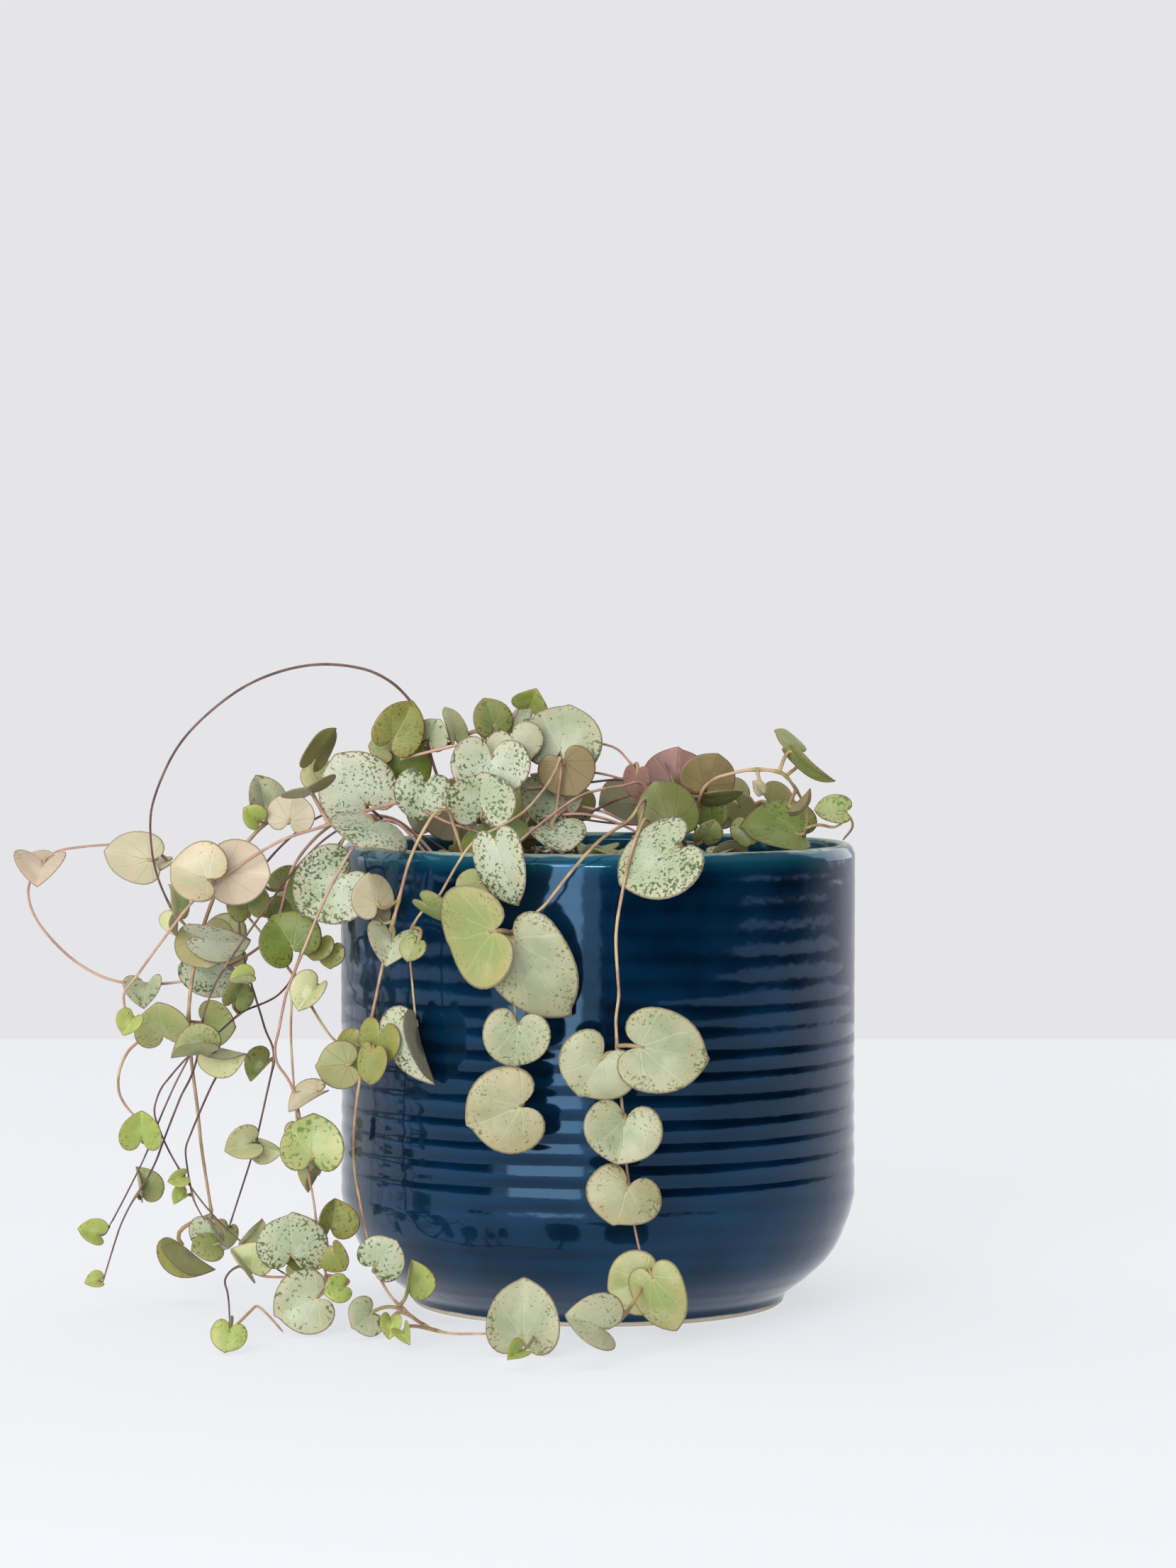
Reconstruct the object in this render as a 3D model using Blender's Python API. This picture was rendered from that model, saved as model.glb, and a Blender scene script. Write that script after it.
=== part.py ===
"""A string of hearts (Ceropegia woodii) in its glazed pot.

The pot, the plug of soil and every leafy stem are separate solids. A stem stands in a plain
hole in the soil, climbs out over the rim and trails beside the pot, and its heart-shaped
leaves are joined to it by their stalks. The origin is the middle of the pot's foot.
"""
import math
import random
from collections import namedtuple

import bmesh
import bpy
from mathutils import Matrix, Vector, noise
from mathutils.bvhtree import BVHTree
from mathutils.kdtree import KDTree

# Every size below is in millimetres; Blender's unit is the metre.
MM = 0.001

# Pot
POT_RADIUS = 65.0
POT_HEIGHT = 116.0
FOOT_RADIUS = 47.0
WALL = 4.0
POT_SIDES = 28
RIDGE_PITCH = 5.6
RIDGE_DEPTH = 0.35
POT_FLANK = ((47.8, 2.7), (50.3, 4.6), (53.5, 7.0), (57.4, 10.6), (60.2, 14.2),
             (62.2, 18.4), (63.9, 23.0))
POT_INSIDE = ((49.0, 8.0), (55.5, 12.5), (59.5, 20.0), (61.0, 30.0))
RIDGES_FROM = 28.0
RIDGES_TO = 111.0

# Soil
SOIL_TOP = 100.0
SOIL_BUMP = 1.6
SOIL_SIDES = 18
HOLE_DEPTH = 13.0
HOLE_SIDES = 5
HOLE_GAP = 0.45
GAP = 0.35

# Stems
STEM_STEP = 2.2
STEM_APART = 3.9
STEM_FLAT = 0.68
STEM_SUNK = 12.0
FLOOR_GAP = 1.3
SETTLE_ROUNDS = 90

# Leaves: the half outline in widths, from the notch round one lobe to the tip
LOBE = ((0.12, -0.23), (0.40, -0.18), (0.50, 0.14), (0.34, 0.48))
SMALL_LOBE = ((0.20, -0.22), (0.49, -0.02), (0.38, 0.42))
TIP = 0.63
BLADE = 0.75
SMALL_LEAF = 15.5
FOLD = 0.16
CURL = 0.35
STALK_WIDTH = 1.15
STALK_TAPER = 0.4
ELBOW = 1.7
BENT = -0.1
FOLDED = 0.55
CLEAR = 0.45

# Stems and leaves are drawn on the upright plane through the pot's axis, as they look from
# this point in front of the pot, and each is then set nearer or farther along its line of sight.
EYE = Vector((-2.5, -1106.0, 165.3))

Leaf = namedtuple("Leaf", "x z width aim pitch roll near long", defaults=(0, 0, -3.0, 1.0))
Vine = namedtuple("Vine", "name root radius stems leaves")

# A stem is a list of (x, z, depth). The first of a vine rises from its root; the others are
# side shoots. A leaf gives its notch, width, the way its tip points (0 right, 90 up), how far
# the tip leans to the front, its turn about the midrib (180 shows the underside), how far it
# stands off its stem in depth, and its length against a leaf of the usual shape.
VINES = (
    Vine("vine_arch", (-30, -6), 0.75, (
        ((-40, 131, -14), (-43.5, 142, -16), (-47, 151, -18), (-53, 157, -20), (-60, 160, -22),
         (-70, 161, -24), (-80, 159.3, -26), (-90, 155, -27), (-100, 147.3, -28),
         (-107, 139, -28), (-112, 128, -27), (-113.3, 120, -26), (-112, 109, -24),
         (-107.5, 98.5, -22), (-101.5, 92.2, -20)),
    ), (
        Leaf(-42.5, 142.5, 9.5, 60, 20),
        Leaf(-36.4, 142.8, 11.5, 104, 0, 70, 2, 1.2),
        Leaf(-52, 142, 13.5, 50, 0, 20, -5, 1.4),
        Leaf(-53.5, 139.5, 8, 165, 20, 20, 3),
        Leaf(-106.8, 98.8, 11, 96, 0, 72, -2),
        Leaf(-106.6, 96.5, 8, 262, 0, 66, 2),
        Leaf(-100.3, 91.8, 19, -24, 15, 62, -3),
        Leaf(-100, 92.5, 16, -80, 15, 180, 5),
    )),
    Vine("vine_far_loop", (-38, 14), 0.65, (
        ((-50, 121, 14), (-62, 122.5, 12), (-70, 118.5, 8), (-77, 110, 4), (-80, 100, 2),
         (-82, 93.5, 2), (-87, 88.5, 2), (-95, 84, 3), (-105, 80.8, 4), (-115, 80, 5),
         (-124, 81.3, 5), (-132, 85.5, 5), (-138.5, 91.5, 5), (-143, 98, 5),
         (-144.2, 104.5, 4), (-141, 110.5, 2), (-136.5, 113.8, 0), (-125, 115.3, -2),
         (-115, 115.2, -3), (-111, 113.3, -4)),
    ), (
        Leaf(-140.5, 109.8, 13.5, 262, 62, 10, -5),
        Leaf(-142, 111.5, 9.5, 95, -60, 0, 3),
        Leaf(-113.5, 111.5, 13.5, 168, 0, 180, -4, 1.5),
        Leaf(-110, 110.8, 10, 196, 0, 78, 3),
        Leaf(-114.5, 79, 11, 268, 45, 10, -4),
        Leaf(-82.5, 97, 11, 30, -20, 30, 5),
    )),
    Vine("vine_low_left", (-26, -26), 0.7, (
        ((-37, 129.5, -26), (-45, 127.3, -30), (-58, 124, -35), (-70, 119.8, -38),
         (-80, 116.5, -40), (-90, 110.5, -41), (-101.5, 102, -40), (-110, 91.5, -38),
         (-118, 80.5, -36), (-120, 77.8, -36), (-119.5, 69, -35)),
    ), (
        Leaf(-99.3, 106.8, 17, 156, 0, 25, -4),
        Leaf(-94.2, 108.5, 17, -5, 0, 180, 4, 1.1),
        Leaf(-57, 120.5, 21, 248, 71, 0, -4),
        Leaf(-72.7, 129, 15, 112, 72, 180, 2),
        Leaf(-43.8, 130.5, 15, 258, 5, 0, -3),
        Leaf(-118, 71, 8, 240, 25, 15, -3),
    )),
    Vine("vine_thick", (-20, -2), 0.85, (
        ((-28, 141, -4), (-35, 142.5, -5), (-45, 140.8, -6), (-52, 136.5, -7), (-62, 132, -8),
         (-73, 128.5, -9), (-84, 121, -10), (-93, 110.5, -10), (-97.5, 101.5, -10),
         (-101.5, 89, -9), (-103.5, 76, -8), (-103.8, 70.5, -8), (-103, 60, -8),
         (-101.5, 48, -8), (-100.5, 38, -8), (-98, 21.5, -8)),
    ), (
        Leaf(-51.5, 139.3, 13, -42, 0, 38, -4, 1.4),
        Leaf(-59, 126.3, 20.5, 123, -12, 0, -6, 1.1),
        Leaf(-70.5, 131.5, 9.5, 95, -20, 0, 4),
        Leaf(-71.9, 136.8, 12.5, 60, 0, 240, 3, 1.25),
        Leaf(-78, 121.5, 12.5, 80, 0, 180, -4),
        Leaf(-84.5, 124, 14, 95, 0, 48, 3),
        Leaf(-86.5, 122, 7.5, 140, 20, 10, -4),
        Leaf(-101, 85.5, 15.5, -38, 0, 42, -5, 1.5),
        Leaf(-110, 67.5, 14.5, 100, 30, 0, -4),
        Leaf(-99, 70, 12.5, -5, 25, 0, 4),
        Leaf(-97.5, 64, 14.5, -15, 20, 58, -3),
        Leaf(-98, 19, 13.5, -62, 0, 50, -4),
        Leaf(-106, 14, 17, -48, 0, 70, 3),
        Leaf(-97.5, 13.5, 9, 185, 30, 40, -7),
    )),
    Vine("vine_two_tails", (-42, -22), 0.6, (
        ((-56, 121.5, -32), (-66, 119, -33), (-76, 110, -31), (-85, 98, -29), (-92, 88, -28),
         (-97, 80, -28), (-100, 72, -28), (-103, 63, -28), (-107, 55, -28), (-111, 46, -28),
         (-115, 36, -28), (-121.5, 23, -28), (-124, 18.5, -28)),
        ((-100, 72, -28), (-101, 65, -25), (-102.5, 58, -23), (-105.5, 52, -22),
         (-109.5, 42, -22), (-113, 33, -22), (-117, 26.5, -22), (-121, 19, -22),
         (-125.8, 4, -22)),
    ), (
        Leaf(-115.7, 40.7, 11.5, 90, 10, 0, -4),
        Leaf(-116, 27, 11, 95, 0, 55, 3),
        Leaf(-127, 16.3, 8, 160, 15, 20, -2),
        Leaf(-127, 4.3, 6, 180, 20, 30, 0),
        Leaf(-99, 62.5, 15, 182, 0, 76, -4),
        Leaf(-89, 80.5, 8, 172, 20, 66, -3),
    )),
    Vine("vine_dark_long", (-32, 28), 0.6, (
        ((-48, 119.5, 24), (-60, 121, 27), (-70, 108, 22), (-74, 92, 14), (-78.5, 80, 6),
         (-84, 75.5, 0), (-90, 73, -6), (-97, 67, -12), (-104, 61.5, -16), (-111, 53, -18),
         (-112.5, 48, -18), (-109.5, 39, -18), (-103, 28, -18), (-95, 18.5, -20),
         (-85, 10, -24), (-79, 6, -28)),
        ((-97, 67, -12), (-95.5, 60, -14), (-99, 52, -14), (-103.8, 40.5, -13),
         (-104.5, 36, -13), (-102.5, 25, -14), (-99.5, 19.5, -15)),
        ((-85, 10, -24), (-90, 8.5, -27), (-94.5, 6, -30), (-93.8, 0, -38), (-93.5, -6.5, -52)),
    ), (
        Leaf(-105.5, 31, 6.5, 200, 20, 0, -2),
        Leaf(-105, 26, 6, 215, 20, 30, 1),
        Leaf(-89, 15.5, 11, 45, 0, 50, -2),
        Leaf(-88.5, 7, 13.5, 125, 0, 48, -4),
        Leaf(-93.5, -8, 9.5, 245, 55, 0, -2),
        Leaf(-78, 5, 9, -30, 30, 20, -2),
        Leaf(-92, 76, 10, 60, 0, 40, 4),
    )),
    Vine("vine_butterfly", (-44, 2), 0.65, (
        ((-57, 124, 2), (-68, 123.5, 6), (-78, 117, 13), (-86, 108, 17), (-90.7, 98, 18),
         (-90.5, 92, 17), (-89.5, 86, 16), (-87.5, 79, 15), (-85.5, 72.5, 13),
         (-83.5, 66, 11), (-82, 62, 10), (-84, 52, 9), (-86.5, 41, 8), (-88, 35.5, 8),
         (-93.5, 18.5, 8)),
    ), (
        Leaf(-88.2, 39.5, 11, 195, 20, 15, -2),
        Leaf(-84.8, 39, 9.5, -20, 20, 25, 2),
        Leaf(-80, 104, 14, 20, -10, 20, 4),
        Leaf(-92.5, 90, 15, 172, -10, 160, 5),
        Leaf(-84, 60, 11, 225, 10, 30, 4),
        Leaf(-94, 17.5, 9, 250, 10, 30, 2),
    )),
    Vine("vine_inner_left", (-37, -33), 0.6, (
        ((-51, 121, -40), (-60, 117, -46), (-68, 104, -48), (-74, 90, -47), (-79, 77.5, -44),
         (-80.5, 70, -43), (-82, 62, -42), (-80, 58, -42), (-77.5, 54, -43), (-76, 48, -44),
         (-74.5, 40, -45), (-73.5, 32, -46), (-72, 24, -47), (-71, 15, -49), (-69, 6, -52)),
    ), (
        Leaf(-77, 50, 14, 262, 55, 0, -4),
        Leaf(-72.4, 36.3, 16.5, 90, 0, 0, -5),
        Leaf(-71, 32, 9.5, 232, 0, 68, 3),
        Leaf(-67.8, 18.5, 13, 80, 0, 40, 3),
        Leaf(-77.6, 11.5, 18.5, 90, 10, 0, -5),
        Leaf(-75, 13, 12, 200, 45, 0, 4),
        Leaf(-67, 12, 10, -60, 10, 30, -3),
        Leaf(-72, 0, 17, 215, 15, 0, -7),
        Leaf(-65, 3, 8, 200, 30, 0, -14),
    )),
    Vine("vine_star", (-47, -11), 0.6, (
        ((-56, 121.5, -18), (-63, 117, -23), (-66.5, 110, -25), (-69, 101, -25),
         (-72.5, 93, -24), (-75, 87.5, -24), (-77, 82, -24), (-77.8, 70, -24),
         (-77.5, 60, -24), (-76.3, 45, -24), (-75, 36, -25)),
        ((-77, 82, -24), (-79.5, 85.5, -22), (-84, 91.5, -20), (-88.5, 97, -18)),
        ((-77, 81.5, -24), (-73, 75, -28), (-70, 70, -31), (-67, 66, -34), (-62.5, 63, -37)),
    ), (
        Leaf(-64.3, 107.7, 20.5, 225, 0, 0, -8, 1.12),
        Leaf(-77.5, 89.5, 17, 120, 0, 20, -4),
        Leaf(-70.5, 91, 9, 250, 10, 20, 2),
        Leaf(-67.5, 89, 8, 262, 10, 30, 5),
        Leaf(-71.5, 79, 12.5, 240, 0, 30, -3),
        Leaf(-88.5, 99, 12, 105, 0, 30, -3),
        Leaf(-63.5, 59.5, 12.5, 180, 0, 180, -3),
        Leaf(-60, 64, 12.5, 222, 0, 20, -3),
        Leaf(-75.5, 44, 9, 300, 10, 30, 2),
    )),
    Vine("vine_front_long", (-31, -42), 0.65, (
        ((-38, 124, -49), (-42.5, 121.5, -52), (-45, 117, -53), (-47.5, 112, -52),
         (-50.5, 101, -50), (-54, 87, -47), (-57, 73, -45), (-60, 58, -44), (-61.7, 45, -43),
         (-61.9, 34.5, -43), (-60.1, 23.2, -44), (-58.6, 16, -45), (-56.5, 8.8, -48),
         (-54.5, 3.6, -52), (-51.7, -0.5, -56), (-48.3, -3.6, -60), (-44.2, -6.7, -66),
         (-39, -8.7, -71), (-31.8, -9, -73), (-22, -8.6, -75), (-13, -7, -76)),
    ), (
        Leaf(-56, 100.5, 12.5, 112, 0, 215, -3),
        Leaf(-55.5, 97, 9, 100, 0, 235, 3),
        Leaf(-52, 91, 14.5, 258, 55, 0, -5),
        Leaf(-55, 67.5, 14.5, 262, 0, 40, -5),
        Leaf(-57, 62, 13, 262, 0, 72, 4),
        Leaf(-56, 9, 13, 50, 10, 0, -8),
        Leaf(-58, -4, 11, 215, 25, 0, -8),
        Leaf(-48, 3, 12.5, 80, 0, 48, -4),
        Leaf(-52.5, -6, 8, 265, 30, 0, -14),
        Leaf(-49, -9, 7, 300, 40, 0, -12),
        Leaf(-19, -9.8, 19, 115, 0, 0, -8, 1.3),
        Leaf(-20, -14, 8, 200, 50, 0, -14),
    )),
    Vine("vine_front_short", (-12, -30), 0.6, (
        ((-9, 136, -33), (-12, 131.5, -40), (-18, 124.3, -51), (-24, 120.3, -58),
         (-31, 116.5, -62), (-35.5, 110.5, -63), (-40.5, 102, -61), (-44.5, 98.5, -58),
         (-47.5, 93, -56), (-47.5, 86, -55), (-47, 80, -55), (-46.2, 71, -55)),
    ), (
        Leaf(-43.5, 100.5, 13, -35, 0, 60, -4),
        Leaf(-46.2, 70, 19.5, -82, 0, 70, 0, 1.4),
        Leaf(-46, 90, 8, 240, 10, 30, -5),
    )),
    Vine("vine_over_rim", (10, -24), 0.65, (
        ((12.5, 129, -34), (5, 130, -41), (-3, 128.3, -48), (-8, 125.5, -54),
         (-14, 121, -61), (-20, 116, -67), (-25, 110, -70), (-28, 106.8, -70)),
    ), (
        Leaf(-28.5, 115, 17, -66, 10, 25, -6, 1.35),
        Leaf(-30.5, 105.5, 10, 200, 10, 30, 0),
    )),
    Vine("vine_front_pair", (6, -36), 0.65, (
        ((12, 126.5, -46), (8, 121.5, -55), (4, 119, -62), (-1, 115, -68), (-8, 107, -72),
         (-14, 99.5, -73), (-21, 94.2, -72), (-23, 90, -72), (-22.5, 85, -72),
         (-22, 80, -72), (-20.8, 72, -72), (-20.2, 60, -72), (-19.5, 51, -72)),
    ), (
        Leaf(-22, 92, 20.5, -53, 0, 10, -4, 1.6),
        Leaf(-24.5, 93, 25.5, 165, 0, 0, -4),
        Leaf(-20.4, 69.3, 17.5, -95, 0, 0, -4),
        Leaf(-20, 48.8, 23, 200, 0, 0, -3, 1.1),
    )),
    Vine("vine_front_tail", (16, -44), 0.65, (
        ((13, 121, -53), (10.5, 118.5, -62), (8, 111, -69), (6.2, 103, -72), (4.6, 92, -73),
         (5.3, 77, -73), (4.6, 71.3, -73), (5.3, 58, -73), (6.5, 45.5, -73), (7.3, 34, -73),
         (9, 20, -73), (11.3, 10, -74), (13, 7, -76)),
    ), (
        Leaf(1.2, 61.3, 21, -120, 0, 0, -3),
        Leaf(11, 64, 22, -10, 0, 0, -3, 1.3),
        Leaf(6.7, 45, 20.5, -100, 12, 0, -5, 0.9),
        Leaf(7.3, 28, 20, -110, 12, 0, -5, 0.85),
        Leaf(11.5, 4.5, 15.5, 195, 0, 0, -3),
        Leaf(15, 4.5, 14, -78, 0, 10, -4, 1.3),
        Leaf(2, -8.5, 15, 200, 20, 30, -26),
    )),
    Vine("vine_right", (24, -20), 0.65, (
        ((26, 128, -33), (35, 133.7, -40), (45, 134, -40), (49, 131, -37), (52.5, 124.5, -29),
         (52.5, 118.5, -22), (50, 112, -15)),
        ((52.6, 119.5, -24), (56, 120.4, -25), (60, 119.8, -24), (63, 122, -23)),
    ), (
        Leaf(50, 138.5, 13, -46, 0, 80, -3, 1.4),
        Leaf(50.2, 139.6, 8.5, 140, 0, 60, 2, 1.3),
        Leaf(50.5, 118, 17, 166, 0, 20, 2, 1.25),
        Leaf(38, 120, 9, 266, 10, 10, 11),
        Leaf(62, 123.8, 9, 172, 0, 35, -2, 1.45),
        Leaf(49.5, 125, 8.5, 32, 0, 74, -5),
        Leaf(41, 129, 5, 110, 0, 50, -3),
    )),
    Vine("vine_crown_left", (-22, -16), 0.65, (
        ((-27, 112, -24), (-29.5, 121, -32), (-28, 132, -33), (-22.5, 141, -28)),
    ), (
        Leaf(-27, 137.5, 20.5, 268, 10, 0, -5),
        Leaf(-29.5, 123.7, 18, 90, -46, 0, -8),
        Leaf(-21.7, 142.5, 15.5, -68, 38, 0, -2),
        Leaf(-34, 115, 13, 78, 0, 68, 0),
        Leaf(-26, 119, 18, 262, 60, 20, 5),
    )),
    Vine("vine_crown_high", (-14, 10), 0.65, (
        ((-17, 118, 6), (-20, 132, 2), (-22.5, 143, -1), (-20, 150, 0)),
    ), (
        Leaf(-21.7, 144.3, 15.5, 114, -66, 0, -4),
        Leaf(-26.5, 145.5, 11.5, 103, 0, 35, 3),
        Leaf(-17, 151, 10.5, 70, 55, 0, 0),
        Leaf(-19, 128, 14, 200, 20, 30, 4),
    )),
    Vine("vine_crown_middle", (-4, -14), 0.65, (
        ((-5, 112, -20), (-8, 124, -26), (-10, 133, -26), (-7, 139, -22), (-1, 141, -18),
         (5, 139.5, -18), (9, 135, -18)),
    ), (
        Leaf(-9.4, 139.2, 20.5, 80, -8, 0, 3, 1.05),
        Leaf(-9.9, 138.4, 16.5, 108, -64, 0, -5),
        Leaf(-8.5, 136, 15, 270, 12, 180, -5),
        Leaf(-11.5, 128.5, 16, 262, 66, 0, -6),
        Leaf(-19, 119, 14, 62, 0, 72, -6),
        Leaf(-11, 119, 15, 268, 64, 0, -6),
        Leaf(10, 133, 10.5, 268, 0, 50, -3),
    )),
    Vine("vine_crown_right", (18, -8), 0.7, (
        ((18, 112, -12), (20.5, 121, -20), (19.5, 130, -20), (17, 136, -16)),
        ((19.6, 129, -20), (12, 131, -22), (4, 131.8, -24), (-6, 131, -26), (-16, 133, -24)),
        ((20.5, 121.5, -20), (12, 120.5, -24), (2, 121, -28), (-8, 122.5, -31)),
    ), (
        Leaf(19.5, 129.3, 16, 88, 0, 180, 3, 1.1),
        Leaf(26.5, 130, 13.5, 80, 0, 205, 7, 1.15),
        Leaf(18.7, 120.5, 16, 107, 0, 180, -6, 1.4),
        Leaf(29, 124, 9.5, 262, 10, 35, 2),
        Leaf(28.5, 127.5, 13, 2, 0, 76, -5),
    )),
    Vine("vine_crown_front", (24, -38), 0.65, (
        ((23, 112, -46), (21, 118, -54), (18.5, 116.5, -62)),
    ), (
        Leaf(18, 114.6, 24, 226, 0, 0, -6),
        Leaf(23, 121, 9, 60, 20, 0, 3),
    )),
)

# Vines behind the pot: the angle from straight back, the length that hangs, the root's radius
BACK_VINES = ((-38, 118, 34), (-12, 84, 26), (14, 128, 40), (40, 92, 32))
BACK_SEED = 7
BACK_RIM = 126.0
BACK_OFF = 5.0
BACK_NODE = 33.0
BACK_WIDTH = (11.0, 21.0)


def on_sight(x, z, depth):
    """The point drawn at x, z, set at its depth along the line of sight."""
    drawn = Vector((x, 0.0, z))
    return EYE + (drawn - EYE) * ((depth - EYE.y) / -EYE.y)


def through(points, step):
    """Evenly spaced points along a smooth curve through the given ones."""
    ends = [points[0] * 2 - points[1]] + list(points) + [points[-1] * 2 - points[-2]]
    curve = []
    for before, start, stop, after in zip(ends, ends[1:], ends[2:], ends[3:]):
        count = max(1, round((stop - start).length / step))
        for k in range(count):
            t = k / count
            curve.append(0.5 * (start * 2 + (stop - before) * t
                                + (before * 2 - start * 5 + stop * 4 - after) * t ** 2
                                + (start * 3 - before - stop * 3 + after) * t ** 3))
    return curve + [points[-1].copy()]


def rise(root):
    """The upright start of a stem, from its foot in the soil."""
    heights = (SOIL_TOP - STEM_SUNK, SOIL_TOP, SOIL_TOP + 3.5, SOIL_TOP + 7)
    return [Vector((root[0], root[1], height)) for height in heights]


def back_vine(index, angle, hang, root_radius, rng):
    """A vine that goes over the rim behind the pot, with its leaves in pairs."""
    way = Vector((math.sin(math.radians(angle)), math.cos(math.radians(angle)), 0.0))
    side = Vector((way.y, -way.x, 0.0))
    out = POT_RADIUS + BACK_OFF
    root = way * root_radius
    stem = [*rise(root),
            way * 0.5 * (root_radius + out) + Vector((0, 0, BACK_RIM - 2)),
            way * (out - 6) + Vector((0, 0, BACK_RIM - 2))]
    count = round(hang / BACK_NODE)
    for k in range(1, count + 1):
        sway = side * 3.0 * math.sin(1.3 * k + index) + way * 2.0 * math.sin(0.9 * k)
        stem.append(way * (out + 2) + sway + Vector((0, 0, BACK_RIM - 10 - BACK_NODE * (k - 0.4))))
    poses = []
    for k in range(2, len(stem)):
        for hand in (-1, 1):
            width = rng.uniform(*BACK_WIDTH) * (1.0 - 0.35 * k / len(stem))
            tip = (side * hand * rng.uniform(0.5, 1.0) + way * rng.uniform(-0.1, 0.5)
                   + Vector((0, 0, rng.uniform(-0.9, 0.3)))).normalized()
            face = (way + Vector((0, 0, rng.uniform(0.2, 0.9)))).normalized()
            notch = stem[k] + side * hand * 4.0 + way * 2.0
            poses.append((notch, width, 1.0, tip, face))
    return [stem], poses


def leaf_pose(leaf, stems):
    """A drawn leaf's notch, width, length, midrib and face in space, at its stem's depth."""
    near = min((p for stem in stems for p in stem),
               key=lambda p: (on_sight(leaf.x, leaf.z, p.y) - p).length)
    notch = on_sight(leaf.x, leaf.z, near.y + leaf.near)
    aim, pitch, roll = (math.radians(a) for a in (leaf.aim, leaf.pitch, leaf.roll))
    flat = Vector((math.cos(aim), 0.0, math.sin(aim)))
    tip = flat * math.cos(pitch) + Vector((0.0, -math.sin(pitch), 0.0))
    side = Vector((-flat.z, 0.0, flat.x))
    face = tip.cross(side) * math.cos(roll) - side * math.sin(roll)
    width = leaf.width * (notch.y - EYE.y) / -EYE.y
    return notch, width, leaf.long, tip, face


def wall_radii(z):
    """The pot's outer and inner radius at a height."""
    rows = ((0.0, FOOT_RADIUS),) + tuple((h, r) for r, h in POT_FLANK) + ((RIDGES_FROM, POT_RADIUS),)
    outer = POT_RADIUS
    for (low, r_low), (high, r_high) in zip(rows, rows[1:]):
        if low <= z < high:
            outer = r_low + (r_high - r_low) * (z - low) / (high - low)
    return outer, outer - WALL


def off_the_pot(point, room):
    """The point pushed clear of the pot's wall and of the floor."""
    flat = Vector((point.x, point.y, 0.0))
    radius = flat.length
    outer, inner = wall_radii(point.z)
    if point.z < POT_HEIGHT + room and inner - room < radius < outer + room:
        up = POT_HEIGHT + room - point.z
        outward = outer + room - radius
        inward = radius - inner + room
        if up <= min(outward, inward) + 2.0:
            point = point + Vector((0.0, 0.0, up))
        elif outward <= inward or point.z < SOIL_TOP:
            point = point + flat.normalized() * outward
        else:
            point = point - flat.normalized() * inward
    if point.z < FLOOR_GAP:
        point = Vector((point.x, point.y, FLOOR_GAP))
    return point


def settle(vines):
    """Bend the stems apart, mostly in depth, so that no two vines touch."""
    lines = [stem for _, _, stems, _ in vines for stem in stems]
    owner = [v for v, (_, _, stems, _) in enumerate(vines) for _ in stems]
    shift = [[Vector() for _ in line] for line in lines]
    for _ in range(SETTLE_ROUNDS):
        now = [[p + s for p, s in zip(line, moves)] for line, moves in zip(lines, shift)]
        flat = [(p, n, k) for n, line in enumerate(now) for k, p in enumerate(line)]
        tree = KDTree(len(flat))
        for at, (p, _, _) in enumerate(flat):
            tree.insert(p, at)
        tree.balance()
        for p, n, k in flat:
            push = Vector()
            for q, at, far in tree.find_range(p, STEM_APART):
                other = owner[flat[at][1]]
                if other != owner[n]:
                    away = p - q
                    away.y += 0.4 if owner[n] > other else -0.4
                    away = Vector((0.35 * away.x, away.y, 0.35 * away.z))
                    push += away.normalized() * (STEM_APART - far) * 0.4
            shift[n][k] += push
        for n, line in enumerate(lines):
            moves = shift[n]
            rooted = [k for k, p in enumerate(line) if p.z < SOIL_TOP + 3 and p.xy.length < 58]
            smooth = [moves[max(k - 1, 0)] * 0.25 + moves[k] * 0.5
                      + moves[min(k + 1, len(line) - 1)] * 0.25 for k in range(len(line))]
            for k, p in enumerate(line):
                smooth[k] = Vector() if k in rooted else off_the_pot(p + smooth[k], 2.2) - p
            shift[n] = smooth
    for line, moves in zip(lines, shift):
        for k, move in enumerate(moves):
            line[k] = line[k] + move


def straightened(line, slack):
    """The fewest points of a line that keep it within the given slack."""
    first, last = line[0], line[-1]
    run = last - first
    worst, at = 0.0, 0
    for k in range(1, len(line) - 1):
        offset = line[k] - first
        along = max(0.0, min(1.0, offset.dot(run) / max(run.length_squared, 1e-9)))
        miss = (offset - run * along).length
        if miss > worst:
            worst, at = miss, k
    if worst <= slack:
        return [first, last]
    return straightened(line[:at + 1], slack)[:-1] + straightened(line[at:], slack)


def plain_line(stem):
    """A stem's few straight runs, the first of them upright through its hole in the soil."""
    out = next(k for k, p in enumerate(stem) if p.z > SOIL_TOP + 2 or p.xy.length > POT_RADIUS)
    if out == 0:
        return straightened(stem, STEM_FLAT)
    return [stem[0]] + straightened(stem[out:], STEM_FLAT)


def ring_frames(points):
    """A sideways and an upright direction at each point of a line, turning as little as it can."""
    ways = [(b - a).normalized() for a, b in zip(points, points[1:])]
    ways = [ways[0]] + [(a + b).normalized() for a, b in zip(ways, ways[1:])] + [ways[-1]]
    side = ways[0].orthogonal().normalized()
    frames = []
    for way in ways:
        side = (side - way * side.dot(way)).normalized()
        frames.append((side, way.cross(side)))
    return frames


def drawn_out(bm, face, keep=False):
    """A new face raised from an old one, which goes unless it closes the end of the shape."""
    grown = bmesh.ops.extrude_face_region(bm, geom=[face])["geom"]
    if not keep:
        bmesh.ops.delete(bm, geom=[face], context="FACES_ONLY")
    return next(g for g in grown if isinstance(g, bmesh.types.BMFace))


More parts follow.
